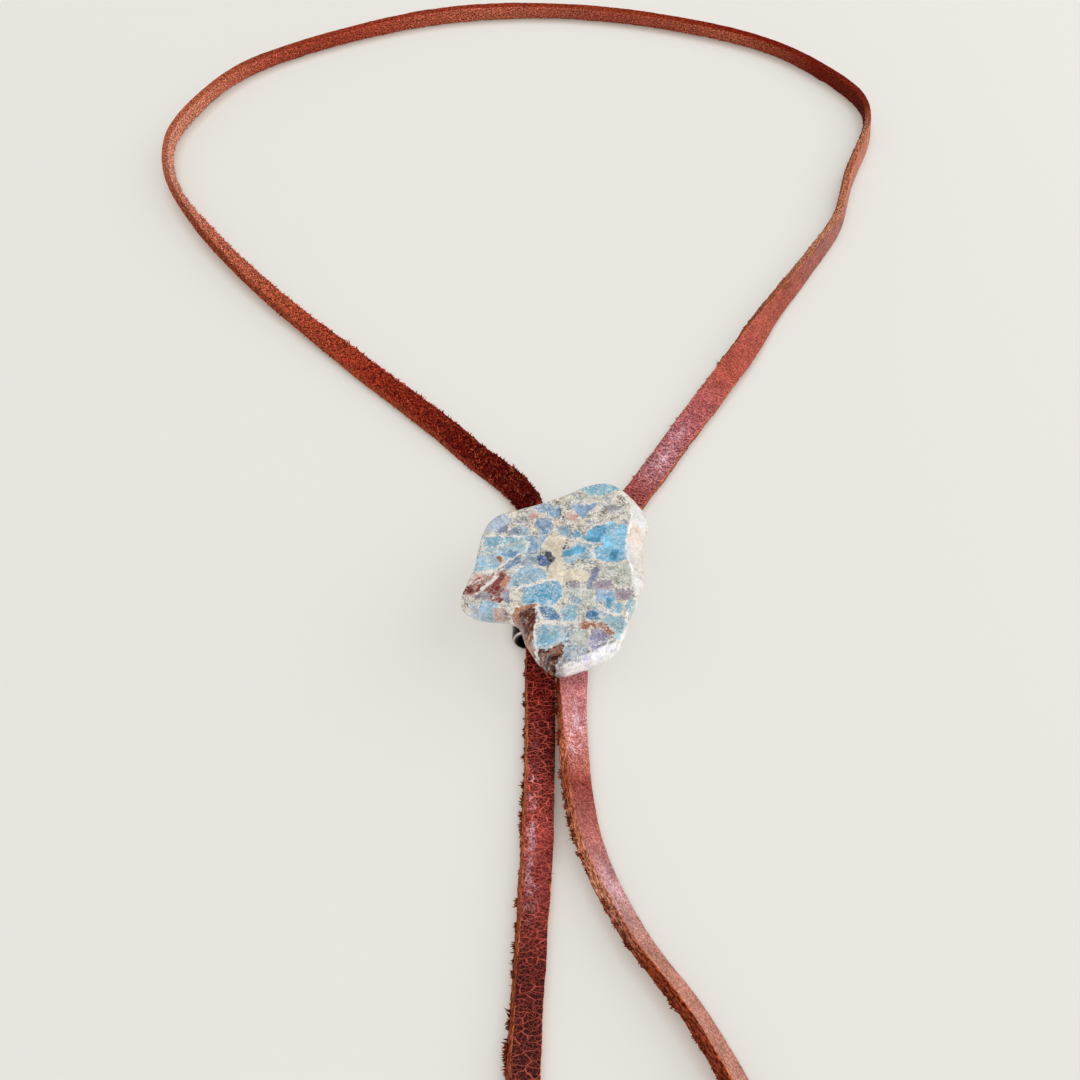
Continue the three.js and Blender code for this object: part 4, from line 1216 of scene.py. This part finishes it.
# Painted reflection: the steep lower cut is painted white and lilac.
in_cut = ramp(past_lower_cut(*place[:, :2].T), -0.3, 0.4)
cut_reflection = blend(stone_tone("glint"), stone_tone("lilac"), haze)
paint = blend(paint, cut_reflection, in_cut * 0.9 * (1 - 0.5 * clots))
# Painted light: the bevel, which faces the lamp, is washed pale with peach and ice.
bevel_light = blend(stone_tone("white"), stone_tone("peach"), ramp(cloud + 0.5 * fleck, -0.2, 0.9))
bevel_light = blend(bevel_light, stone_tone("ice"), ramp(noise(place, 2.1, 78), 0.0, 0.8))
paint = blend(paint, bevel_light * 0.9, ramp(past_ridge, -0.2, 0.5) * 0.6)
# Painted highlight: a white glint along the bevel's ridge.
paint = blend(paint, stone_tone("glint"), 0.9 * (1 - ramp(abs(past_ridge - 0.1), 0.12, 0.32)) * patchy)
give_colour(stone, "jasper", np.clip(paint, 0, 1))
give_number(stone, "cement", bare * (1 - in_cut) * (1 - ramp(past_ridge, -0.2, 0.5)))
print("Painted", len(paint), "points of the stone")

# %% [markdown]
# ## Materials
# Each finish starts from what the real one is. Its pattern is sized in real millimetres: a texture node's
# scale is how many cells fit in a metre, so a cell of 0.8 mm is a scale of 1250. One function adds a node,
# sets it and links it, and every material below is built with it.

# %% One function for nodes
def add(tree, kind, inputs=None, **settings):
    """Adds a node of that kind with its settings. An input is a plain value, or the socket it comes from.
    Map Range's inputs 1 to 4 are from low, from high, to low and to high. Mix's 0, 6 and 7 are how much of
    the second colour, the first and the second, and its output 2 is the mixed colour."""
    made = tree.nodes.new("ShaderNode" + kind)
    for name, value in settings.items():
        setattr(made, name, value)
    for name, value in (inputs or {}).items():
        if isinstance(value, bpy.types.NodeSocket):
            tree.links.new(value, made.inputs[name])
        else:
            made.inputs[name].default_value = value
    return made


def new_material(name):
    """An empty material and its node tree."""
    material = bpy.data.materials.new(name)
    material.use_nodes = True
    material.node_tree.nodes.clear()
    return material, material.node_tree


def finish_material(tree, shader):
    """Sends the shader to the material's surface."""
    add(tree, "OutputMaterial", {"Surface": shader.outputs["BSDF"]})


def colour4(hex_colour):
    """An sRGB colour as the four linear numbers that a colour input takes."""
    return (*linear(hex_colour), 1.0)


print("Materials are built with add()")

# %% [markdown]
# ### Grain leather
# The grain side is oiled pull-up leather: drum dyed, waxed, and creased by bending. The wax gives it a soft
# gloss. Creases show as a net of paler lines round darker cells of about 0.8 mm, because the wax moves out
# of a fold. Where the lace bends hard near the stone the cells are pulled out across the strip.

# %% Grain side
SWAY_CELL, SWAY_SIZE = 1.3 * MM, 0.8 * MM  # the net's lines wander by up to half of SWAY_SIZE
PORE_CELL, PATCH_CELL = 0.36 * MM, 3.2 * MM
# What the tone is multiplied by, in linear light: the dark cells where the lace is flat and where it is
# creased, and the ground between them. A crease's own line is tone * CREASE_LIGHT + CREASE_LIFT.
FLAT_CELL, CREASED_CELL, SOFT_GROUND = (0.78, 0.54, 0.52, 1), (0.17, 0.06, 0.07, 1), (1.22, 1.25, 1.27)
CREASE_LIGHT, CREASE_LIFT = (2.9, 3.1, 2.9), (0.40, 0.105, 0.065)


def leather_grain():
    """Waxed grain leather: dark cells on the tone, under creases of max(long * creased, fine * share)."""
    material, tree = new_material("waxed_pull_up_grain_leather")
    tone = add(tree, "Attribute", attribute_name="tone").outputs["Color"]
    creased = add(tree, "Attribute", attribute_name="creased").outputs["Fac"]
    strip = add(tree, "UVMap", uv_map="strip").outputs["UV"]
    place = add(tree, "TexCoord").outputs["Object"]
    sway = add(tree, "TexNoise", {"Vector": place, "Scale": 1 / SWAY_CELL, "Detail": 3.0})
    shift = add(tree, "VectorMath", {0: sway.outputs["Color"], 1: (0.5, 0.5, 0.5)}, operation="SUBTRACT")
    shift = add(tree, "VectorMath", {0: shift.outputs[0], "Scale": SWAY_SIZE}, operation="SCALE")
    bent = add(tree, "VectorMath", {0: strip, 1: shift.outputs[0]}, operation="ADD")

    def net(along_mm, across_mm, slant, line, seed):
        """Thin lines between cells of that size, fading in and out: 1 on a line, 0 beside it."""
        sized = add(tree, "Mapping", {
            "Vector": bent.outputs[0], "Location": (seed, seed, 0), "Rotation": (0, 0, slant),
            "Scale": (along_mm * MM, across_mm * MM, 1),
        }, vector_type="TEXTURE")
        cell = add(
            tree, "TexVoronoi", {"Vector": sized.outputs[0], "Scale": 1.0},
            voronoi_dimensions="2D", feature="DISTANCE_TO_EDGE",
        )
        edge = add(
            tree, "MapRange", {0: cell.outputs["Distance"], 1: 0.0, 2: line, 3: 1.0, 4: 0.0},
            interpolation_type="SMOOTHSTEP",
        )
        fades = add(tree, "TexNoise", {
            "Vector": sized.outputs[0], "Scale": 0.8, "Detail": 1.0,
        }, noise_dimensions="2D")
        strength = add(tree, "MapRange", {0: fades.outputs["Fac"], 1: 0.32, 2: 0.55, 3: 0.2, 4: 1.0})
        faded = add(tree, "Math", {0: edge.outputs[0], 1: strength.outputs[0]}, operation="MULTIPLY")
        return faded.outputs[0]

    fine_net = net(along_mm=0.6, across_mm=0.8, slant=-0.15, line=0.085, seed=3.0)
    long_net = net(along_mm=1.0, across_mm=2.8, slant=-0.25, line=0.07, seed=7.0)
    long_lines = add(tree, "Math", {0: long_net, 1: creased}, operation="MULTIPLY")
    fine_share = add(tree, "MapRange", {0: creased, 1: 0.0, 2: 1.0, 3: 0.10, 4: 0.75})
    fine_lines = add(tree, "Math", {0: fine_net, 1: fine_share.outputs[0]}, operation="MULTIPLY")
    lines = add(tree, "Math", {0: long_lines.outputs[0], 1: fine_lines.outputs[0]}, operation="MAXIMUM")
    pores = add(tree, "TexNoise", {"Vector": place, "Scale": 1 / PORE_CELL, "Detail": 2.0, "Roughness": 0.65})
    patches = add(tree, "TexNoise", {"Vector": place, "Scale": 1 / PATCH_CELL, "Detail": 2.0})
    grainy = add(
        tree, "MapRange", {0: pores.outputs["Fac"], 1: 0.44, 2: 0.60, 3: 0.0, 4: 1.0},
        interpolation_type="SMOOTHSTEP",
    )
    worn = add(tree, "MapRange", {0: patches.outputs["Fac"], 1: 0.3, 2: 0.7, 3: 0.72, 4: 1.22})
    deep = add(tree, "Mix", {0: creased, 6: FLAT_CELL, 7: CREASED_CELL}, data_type="RGBA")
    dark = add(tree, "Mix", {0: 1.0, 6: tone, 7: deep.outputs[2]}, data_type="RGBA", blend_type="MULTIPLY")
    soft = add(tree, "VectorMath", {0: tone, 1: SOFT_GROUND}, operation="MULTIPLY")
    ground = add(
        tree, "Mix", {0: grainy.outputs[0], 6: dark.outputs[2], 7: soft.outputs[0]}, data_type="RGBA",
    )
    patchy = add(tree, "VectorMath", {0: ground.outputs[2], "Scale": worn.outputs[0]}, operation="SCALE")
    light = add(tree, "VectorMath", {0: tone, 1: CREASE_LIGHT, 2: CREASE_LIFT}, operation="MULTIPLY_ADD")
    colour = add(
        tree, "Mix", {0: lines.outputs[0], 6: patchy.outputs[0], 7: light.outputs[0]}, data_type="RGBA",
    )
    rise = add(tree, "Math", {0: grainy.outputs[0], 1: 0.35}, operation="MULTIPLY")
    relief_height = add(tree, "Math", {0: rise.outputs[0], 1: lines.outputs[0]}, operation="ADD")
    relief = add(tree, "Bump", {"Strength": 0.6, "Distance": 0.07 * MM, "Height": relief_height.outputs[0]})
    dull = add(tree, "MapRange", {0: pores.outputs["Fac"], 1: 0.3, 2: 0.7, 3: 0.56, 4: 0.40})
    shader = add(tree, "BsdfPrincipled", {
        "Base Color": colour.outputs[2], "Roughness": dull.outputs[0], "IOR": 1.5,
        "Specular IOR Level": 0.07, "Normal": relief.outputs[0],
    })
    finish_material(tree, shader)
    return material


# %% [markdown]
# ### Suede and cut edges
# The suede side is the split, unfinished flesh side: matte, with fibre bundles of about 0.3 mm that catch
# the light one by one. The cut edge shows the same felt from the side, drawn out along the strip by the
# blade. Both scatter light at glancing angles, which the shader's sheen stands for.

# %% Suede side, cut edges and loose fibres
def leather_fibres(name, along_mm, across_mm, darkest, lightest, depth_mm):
    """Matte felt: the tone times a factor from darkest to lightest, by a noise of bundles of that size along
    and across the strip. Red falls least where it is dark."""
    material, tree = new_material(name)
    tone = add(tree, "Attribute", attribute_name="tone").outputs["Color"]
    strip = add(tree, "UVMap", uv_map="strip").outputs["UV"]
    sized = add(tree, "Mapping", {"Vector": strip, "Scale": (1 / (along_mm * MM), 1 / (across_mm * MM), 1)})
    bundles = add(tree, "TexNoise", {
        "Vector": sized.outputs[0], "Scale": 1.0, "Detail": 4.0, "Roughness": 0.62, "Distortion": 0.6,
    }, noise_dimensions="2D")
    amount = add(
        tree, "MapRange", {0: bundles.outputs["Fac"], 1: 0.38, 2: 0.62}, interpolation_type="SMOOTHSTEP",
    )
    low, high = (
        add(tree, "Mix", {0: 1.0, 6: tone, 7: factor}, data_type="RGBA", blend_type="MULTIPLY").outputs[2]
        for factor in ((darkest, darkest * 0.62, darkest * 0.6, 1), (lightest, lightest, lightest * 0.95, 1))
    )
    colour = add(tree, "Mix", {0: amount.outputs[0], 6: low, 7: high}, data_type="RGBA")
    relief = add(tree, "Bump", {"Strength": 0.8, "Distance": depth_mm * MM, "Height": amount.outputs[0]})
    shader = add(tree, "BsdfPrincipled", {
        "Base Color": colour.outputs[2], "Roughness": 0.92, "IOR": 1.45, "Specular IOR Level": 0.08,
        "Sheen Weight": 0.08, "Sheen Roughness": 0.5, "Sheen Tint": colour4("d08060"),
        "Normal": relief.outputs[0],
    })
    finish_material(tree, shader)
    return material


def loose_fibres():
    """Single fibre bundles: each has its own tone, a little uneven along itself."""
    material, tree = new_material("leather_fibre_bundles")
    tone = add(tree, "Attribute", attribute_name="tone").outputs["Color"]
    place = add(tree, "TexCoord").outputs["Object"]
    uneven = add(tree, "TexNoise", {"Vector": place, "Scale": 1 / (0.3 * MM), "Detail": 1.0})
    amount = add(tree, "MapRange", {0: uneven.outputs["Fac"], 1: 0.3, 2: 0.7, 3: 0.75, 4: 1.25})
    colour = add(tree, "VectorMath", {0: tone, "Scale": amount.outputs[0]}, operation="SCALE")
    shader = add(tree, "BsdfPrincipled", {
        "Base Color": colour.outputs[0], "Roughness": 0.85, "IOR": 1.45, "Specular IOR Level": 0.12,
    })
    finish_material(tree, shader)
    return material


grain_leather = leather_grain()
suede_leather = leather_fibres(
    "suede_split_leather", along_mm=0.5, across_mm=0.4, darkest=0.14, lightest=1.9, depth_mm=0.18,
)
cut_leather = leather_fibres(
    "knife_cut_leather_edge", along_mm=0.8, across_mm=0.25, darkest=0.30, lightest=1.7, depth_mm=0.10,
)
fibre_leather = loose_fibres()
for finish in (grain_leather, suede_leather, cut_leather):
    lace.data.materials.append(finish)
GRAIN, SUEDE, CUT = 0, 1, 2  # in the order they were just added
face_finish = np.where(on_grain > 0.5, GRAIN, np.where(on_suede > 0.5, SUEDE, CUT))[quad_place]
caps = np.full(2 * around, CUT)
lace.data.polygons.foreach_set("material_index", np.r_[face_finish, caps].astype(np.int32))
nap.data.materials.append(fibre_leather)
tufts.data.materials.append(fibre_leather)
creased = np.interp(along / MM, *CREASED.T)
give_number(lace, "creased", np.r_[np.repeat(creased, around), 0, 0])
print("Leather finishes are on the lace")

# %% [markdown]
# ### Polished jasper
# Jasper is quartz, IOR 1.54, and takes a high polish. It is full of tiny grains, which the fine noise stands
# for. The cement is softer and polishes less, but here it takes the same gloss as the pieces.

# %% Stone
# Fine lines: the noise's cell in mm, how far from its middle value a line reaches, shift in mm, and how
# strongly the line shows on a blue piece. Bare cement shows it fully.
CRACKS = (1.3, 0.036, 40, 0.18)
HEALED_LINES = [(1.1, 0.048, 90, 0.26), (0.6, 0.060, 150, 0.05)]
CRACK_DARKENS = (0.19, 0.16, 0.17, 1)
HEALED_COLOUR, BIT_AND_GLINT_COLOUR = "efe7d9", "e9eef0"


def polished_jasper():
    """The painted colour, times 0.84 to 1.16 by its fine grain, with dark cracks, cream healed lines and pale
    bits over it; the pale bits are partly real grains and partly painted glints. All three are stronger where
    the paint is cement."""
    material, tree = new_material("polished_brecciated_jasper")
    painted = add(tree, "Attribute", attribute_name="jasper").outputs["Color"]
    place = add(tree, "TexCoord").outputs["Object"]
    fine = add(tree, "TexNoise", {"Vector": place, "Scale": 1 / (0.30 * MM), "Detail": 3.0, "Roughness": 0.6})
    shade = add(tree, "MapRange", {0: fine.outputs["Fac"], 1: 0.3, 2: 0.7, 3: 0.84, 4: 1.16})
    colour = add(tree, "VectorMath", {0: painted, "Scale": shade.outputs[0]}, operation="SCALE")
    cement = add(tree, "Attribute", attribute_name="cement").outputs["Fac"]

    def hairlines(cell_mm, half, shift_mm, in_blue):
        """Thin winding lines where a noise crosses its middle value, fading in and out on their way: 1 on a
        line in bare cement, in_blue on a line in a blue piece, 0 beside it."""
        moved = add(tree, "Mapping", {"Vector": place, "Location": (shift_mm * MM, 0, 0)})
        field = add(tree, "TexNoise", {
            "Vector": moved.outputs[0], "Scale": 1 / (cell_mm * MM), "Detail": 1.5, "Roughness": 0.55,
            "Distortion": 0.8,
        })
        off = add(tree, "Math", {0: field.outputs["Fac"], 1: 0.5}, operation="SUBTRACT")
        off = add(tree, "Math", {0: off.outputs[0]}, operation="ABSOLUTE")
        line = add(
            tree, "MapRange", {0: off.outputs[0], 1: 0.0, 2: half, 3: 1.0, 4: 0.0},
            interpolation_type="SMOOTHSTEP",
        )
        fades = add(tree, "TexNoise", {"Vector": moved.outputs[0], "Scale": 1 / (1.6 * MM), "Detail": 1.0})
        shown = add(tree, "MapRange", {0: fades.outputs["Fac"], 1: 0.40, 2: 0.52})
        line = add(tree, "Math", {0: line.outputs[0], 1: shown.outputs[0]}, operation="MULTIPLY")
        share = add(tree, "MapRange", {0: cement, 1: 0.0, 2: 0.8, 3: in_blue, 4: 1.0})
        line = add(tree, "Math", {0: share.outputs[0], 1: line.outputs[0]}, operation="MULTIPLY")
        return line.outputs[0]

    dark = add(
        tree, "Mix", {0: 1.0, 6: colour.outputs[0], 7: CRACK_DARKENS},
        data_type="RGBA", blend_type="MULTIPLY",
    )
    colour = add(
        tree, "Mix", {0: hairlines(*CRACKS), 6: colour.outputs[0], 7: dark.outputs[2]}, data_type="RGBA",
    )
    for net in HEALED_LINES:
        colour = add(
            tree, "Mix", {0: hairlines(*net), 6: colour.outputs[2], 7: colour4(HEALED_COLOUR)},
            data_type="RGBA",
        )
    # Pale bits in the cement: partly real grains and partly painted glints.
    bits_and_glints = add(tree, "TexNoise", {"Vector": place, "Scale": 1 / (0.36 * MM), "Detail": 0.5})
    gathered = add(tree, "TexNoise", {"Vector": place, "Scale": 1 / (2.6 * MM), "Detail": 1.0})
    gathered = add(tree, "MapRange", {0: gathered.outputs["Fac"], 1: 0.42, 2: 0.62, 3: 0.78, 4: 0.68})
    bits_and_glints = add(tree, "Math", {0: bits_and_glints.outputs["Fac"], 1: gathered.outputs[0]}, operation="SUBTRACT")
    bits_and_glints = add(tree, "MapRange", {0: bits_and_glints.outputs[0], 1: 0.0, 2: 0.03, 3: 0.0, 4: 0.7})
    porous = add(tree, "MapRange", {0: cement, 1: 0.02, 2: 0.12})
    bits_and_glints = add(tree, "Math", {0: bits_and_glints.outputs[0], 1: porous.outputs[0]}, operation="MULTIPLY")
    colour = add(
        tree, "Mix", {0: bits_and_glints.outputs[0], 6: colour.outputs[2], 7: colour4(BIT_AND_GLINT_COLOUR)}, data_type="RGBA",
    )
    swell = add(tree, "TexNoise", {"Vector": place, "Scale": 1 / (1.4 * MM), "Detail": 2.0})
    fine_relief = add(tree, "Bump", {"Strength": 0.3, "Distance": 0.05 * MM, "Height": fine.outputs["Fac"]})
    relief = add(tree, "Bump", {
        "Strength": 0.5, "Distance": 0.4 * MM, "Height": swell.outputs["Fac"],
        "Normal": fine_relief.outputs[0],
    })
    dull = add(tree, "MapRange", {0: fine.outputs["Fac"], 1: 0.3, 2: 0.7, 3: 0.10, 4: 0.30})
    shader = add(tree, "BsdfPrincipled", {
        "Base Color": colour.outputs[2], "Roughness": dull.outputs[0], "IOR": 1.54,
        "Specular IOR Level": 0.18, "Coat Weight": 0.12, "Coat Roughness": 0.05, "Normal": relief.outputs[0],
    })
    finish_material(tree, shader)
    return material


stone.data.materials.append(polished_jasper())

# %% [markdown]
# ### Black nickel
# The slide is brass tube with a bright black nickel plate: a dark mirror with a faint warm tint, and the
# long fine scratches that a barrel polish leaves.

# %% Slide
# The last colour is the painted highlight on the rims.
PLATE_DARK, PLATE_LIGHT, PLATE_GLINT = "0e0c0c", "241c1c", "e0d8ce"


def black_nickel():
    """Polished metal: its colour and gloss vary along fine scratches, and a painted highlight line on the
    rims shows bright.
    """
    material, tree = new_material("black_nickel_plate")
    place = add(tree, "TexCoord").outputs["Object"]
    sized = add(tree, "Mapping", {"Vector": place, "Scale": (1 / (0.25 * MM), 1 / (3 * MM), 1 / (0.25 * MM))})
    worn = add(tree, "TexNoise", {"Vector": sized.outputs[0], "Scale": 1.0, "Detail": 3.0})
    dull = add(tree, "MapRange", {0: worn.outputs["Fac"], 1: 0.35, 2: 0.75, 3: 0.10, 4: 0.24})
    tint = add(
        tree, "Mix", {0: worn.outputs["Fac"], 6: colour4(PLATE_DARK), 7: colour4(PLATE_LIGHT)},
        data_type="RGBA",
    )
    # The painted highlight on the rims.
    rim_glint = add(tree, "Attribute", attribute_name="rim_glint").outputs["Fac"]
    colour = add(tree, "Mix", {0: rim_glint, 6: tint.outputs[2], 7: colour4(PLATE_GLINT)}, data_type="RGBA")
    shader = add(tree, "BsdfPrincipled", {
        "Base Color": colour.outputs[2], "Metallic": 1.0, "Roughness": dull.outputs[0],
    })
    finish_material(tree, shader)
    return material


slide.data.materials.append(black_nickel())
print("Stone and slide have their finishes")

# %% [markdown]
# ## Floor and light
# A pale floor that runs past every view, a large soft lamp on the right for shape and shine, and a bright
# even surround that keeps the shadows light.

# %% Floor
FLOOR_HALF = 15.0  # metres, so that it runs past every view
FLOOR_COLOUR = "8c8b8a"
CONTACT_REACH = 5 * MM
SHADED_GLOW, OPEN_GLOW = (0.62, 0.49, 0.36, 1), (0.525, 0.502, 0.458, 1)  # in linear light

floor_corners = np.array([(-1, -1, 0), (1, -1, 0), (1, 1, 0), (-1, 1, 0)]) * FLOOR_HALF
floor = mesh_from("floor", floor_corners, [(0, 1, 2, 3)])
floor_finish, floor_tree = new_material("pale_matte_board")
# Half its brightness is its own glow, as on a light table, which keeps the shadows light. The glow fades
# where a piece stands within a few millimetres, so contacts and narrow gaps stay dark.
open_air = add(floor_tree, "AmbientOcclusion", {"Distance": CONTACT_REACH}, samples=8)
table_glow = add(floor_tree, "MapRange", {0: open_air.outputs["AO"], 1: 0.10, 2: 0.75, 3: 0.20, 4: 1.0})
glow_colour = add(
    floor_tree, "Mix", {0: table_glow.outputs[0], 6: SHADED_GLOW, 7: OPEN_GLOW}, data_type="RGBA",
)
board = add(floor_tree, "BsdfPrincipled", {
    "Base Color": colour4(FLOOR_COLOUR), "Roughness": 0.8,
    "Emission Color": glow_colour.outputs[2], "Emission Strength": table_glow.outputs[0],
})
finish_material(floor_tree, board)
floor.data.materials.append(floor_finish)

# %% Lights
LAMP_PLACE, LAMP_SIZE = (0.95, 0.20, 0.75), 1.1  # metres
LAMP_WATTS, LAMP_COLOUR = 8, (1.0, 0.985, 0.97)
# The surround is dimmer round one direction, behind and above the necklace, where the room has no window.
# A glossy face that is seen from the front mirrors that part, so its own colour stays deep.
DIM_SIDE = (0.0, 0.64, 0.77)
DIM_BEGINS, DIM_DEEPEST = 0.60, 0.93  # the cosine of the angle from DIM_SIDE
SURROUND_COLOUR, SURROUND_STRENGTH, DIM_STRENGTH = (0.96, 0.97, 1.0, 1), 1.12, 0.16


def soft_lamp(name, place, aim, size, watts, colour):
    """A square area lamp at place, turned to face aim: it tilts by the angle whose tangent is level
    distance / height difference, and turns about the vertical to the aim's side."""
    data = bpy.data.lights.new(name, "AREA")
    data.size = size
    data.energy = watts
    data.color = colour
    lamp = bpy.data.objects.new(name, data)
    lamp.location = place
    away = np.array(place) - np.array(aim)
    level = math.hypot(away[0], away[1])
    lamp.rotation_euler = (math.atan2(level, away[2]), 0, math.atan2(away[1], away[0]) + math.pi / 2)
    bpy.context.scene.collection.objects.link(lamp)
    return lamp


soft_lamp("window_light", LAMP_PLACE, (0, 0, 0), LAMP_SIZE, LAMP_WATTS, LAMP_COLOUR)
world = bpy.data.worlds.new("surround")
world.use_nodes = True
sky_tree = world.node_tree
towards = add(sky_tree, "TexCoord").outputs["Generated"]
near_dim = add(sky_tree, "VectorMath", {0: towards, 1: DIM_SIDE}, operation="DOT_PRODUCT")
glow = add(sky_tree, "MapRange", {
    0: near_dim.outputs["Value"], 1: DIM_BEGINS, 2: DIM_DEEPEST, 3: SURROUND_STRENGTH, 4: DIM_STRENGTH,
}, interpolation_type="SMOOTHSTEP")
background = sky_tree.nodes["Background"]
background.inputs["Color"].default_value = SURROUND_COLOUR
sky_tree.links.new(glow.outputs[0], background.inputs["Strength"])
bpy.context.scene.world = world
bpy.context.scene.view_settings.view_transform = "Standard"
print("Floor and lights are in place")
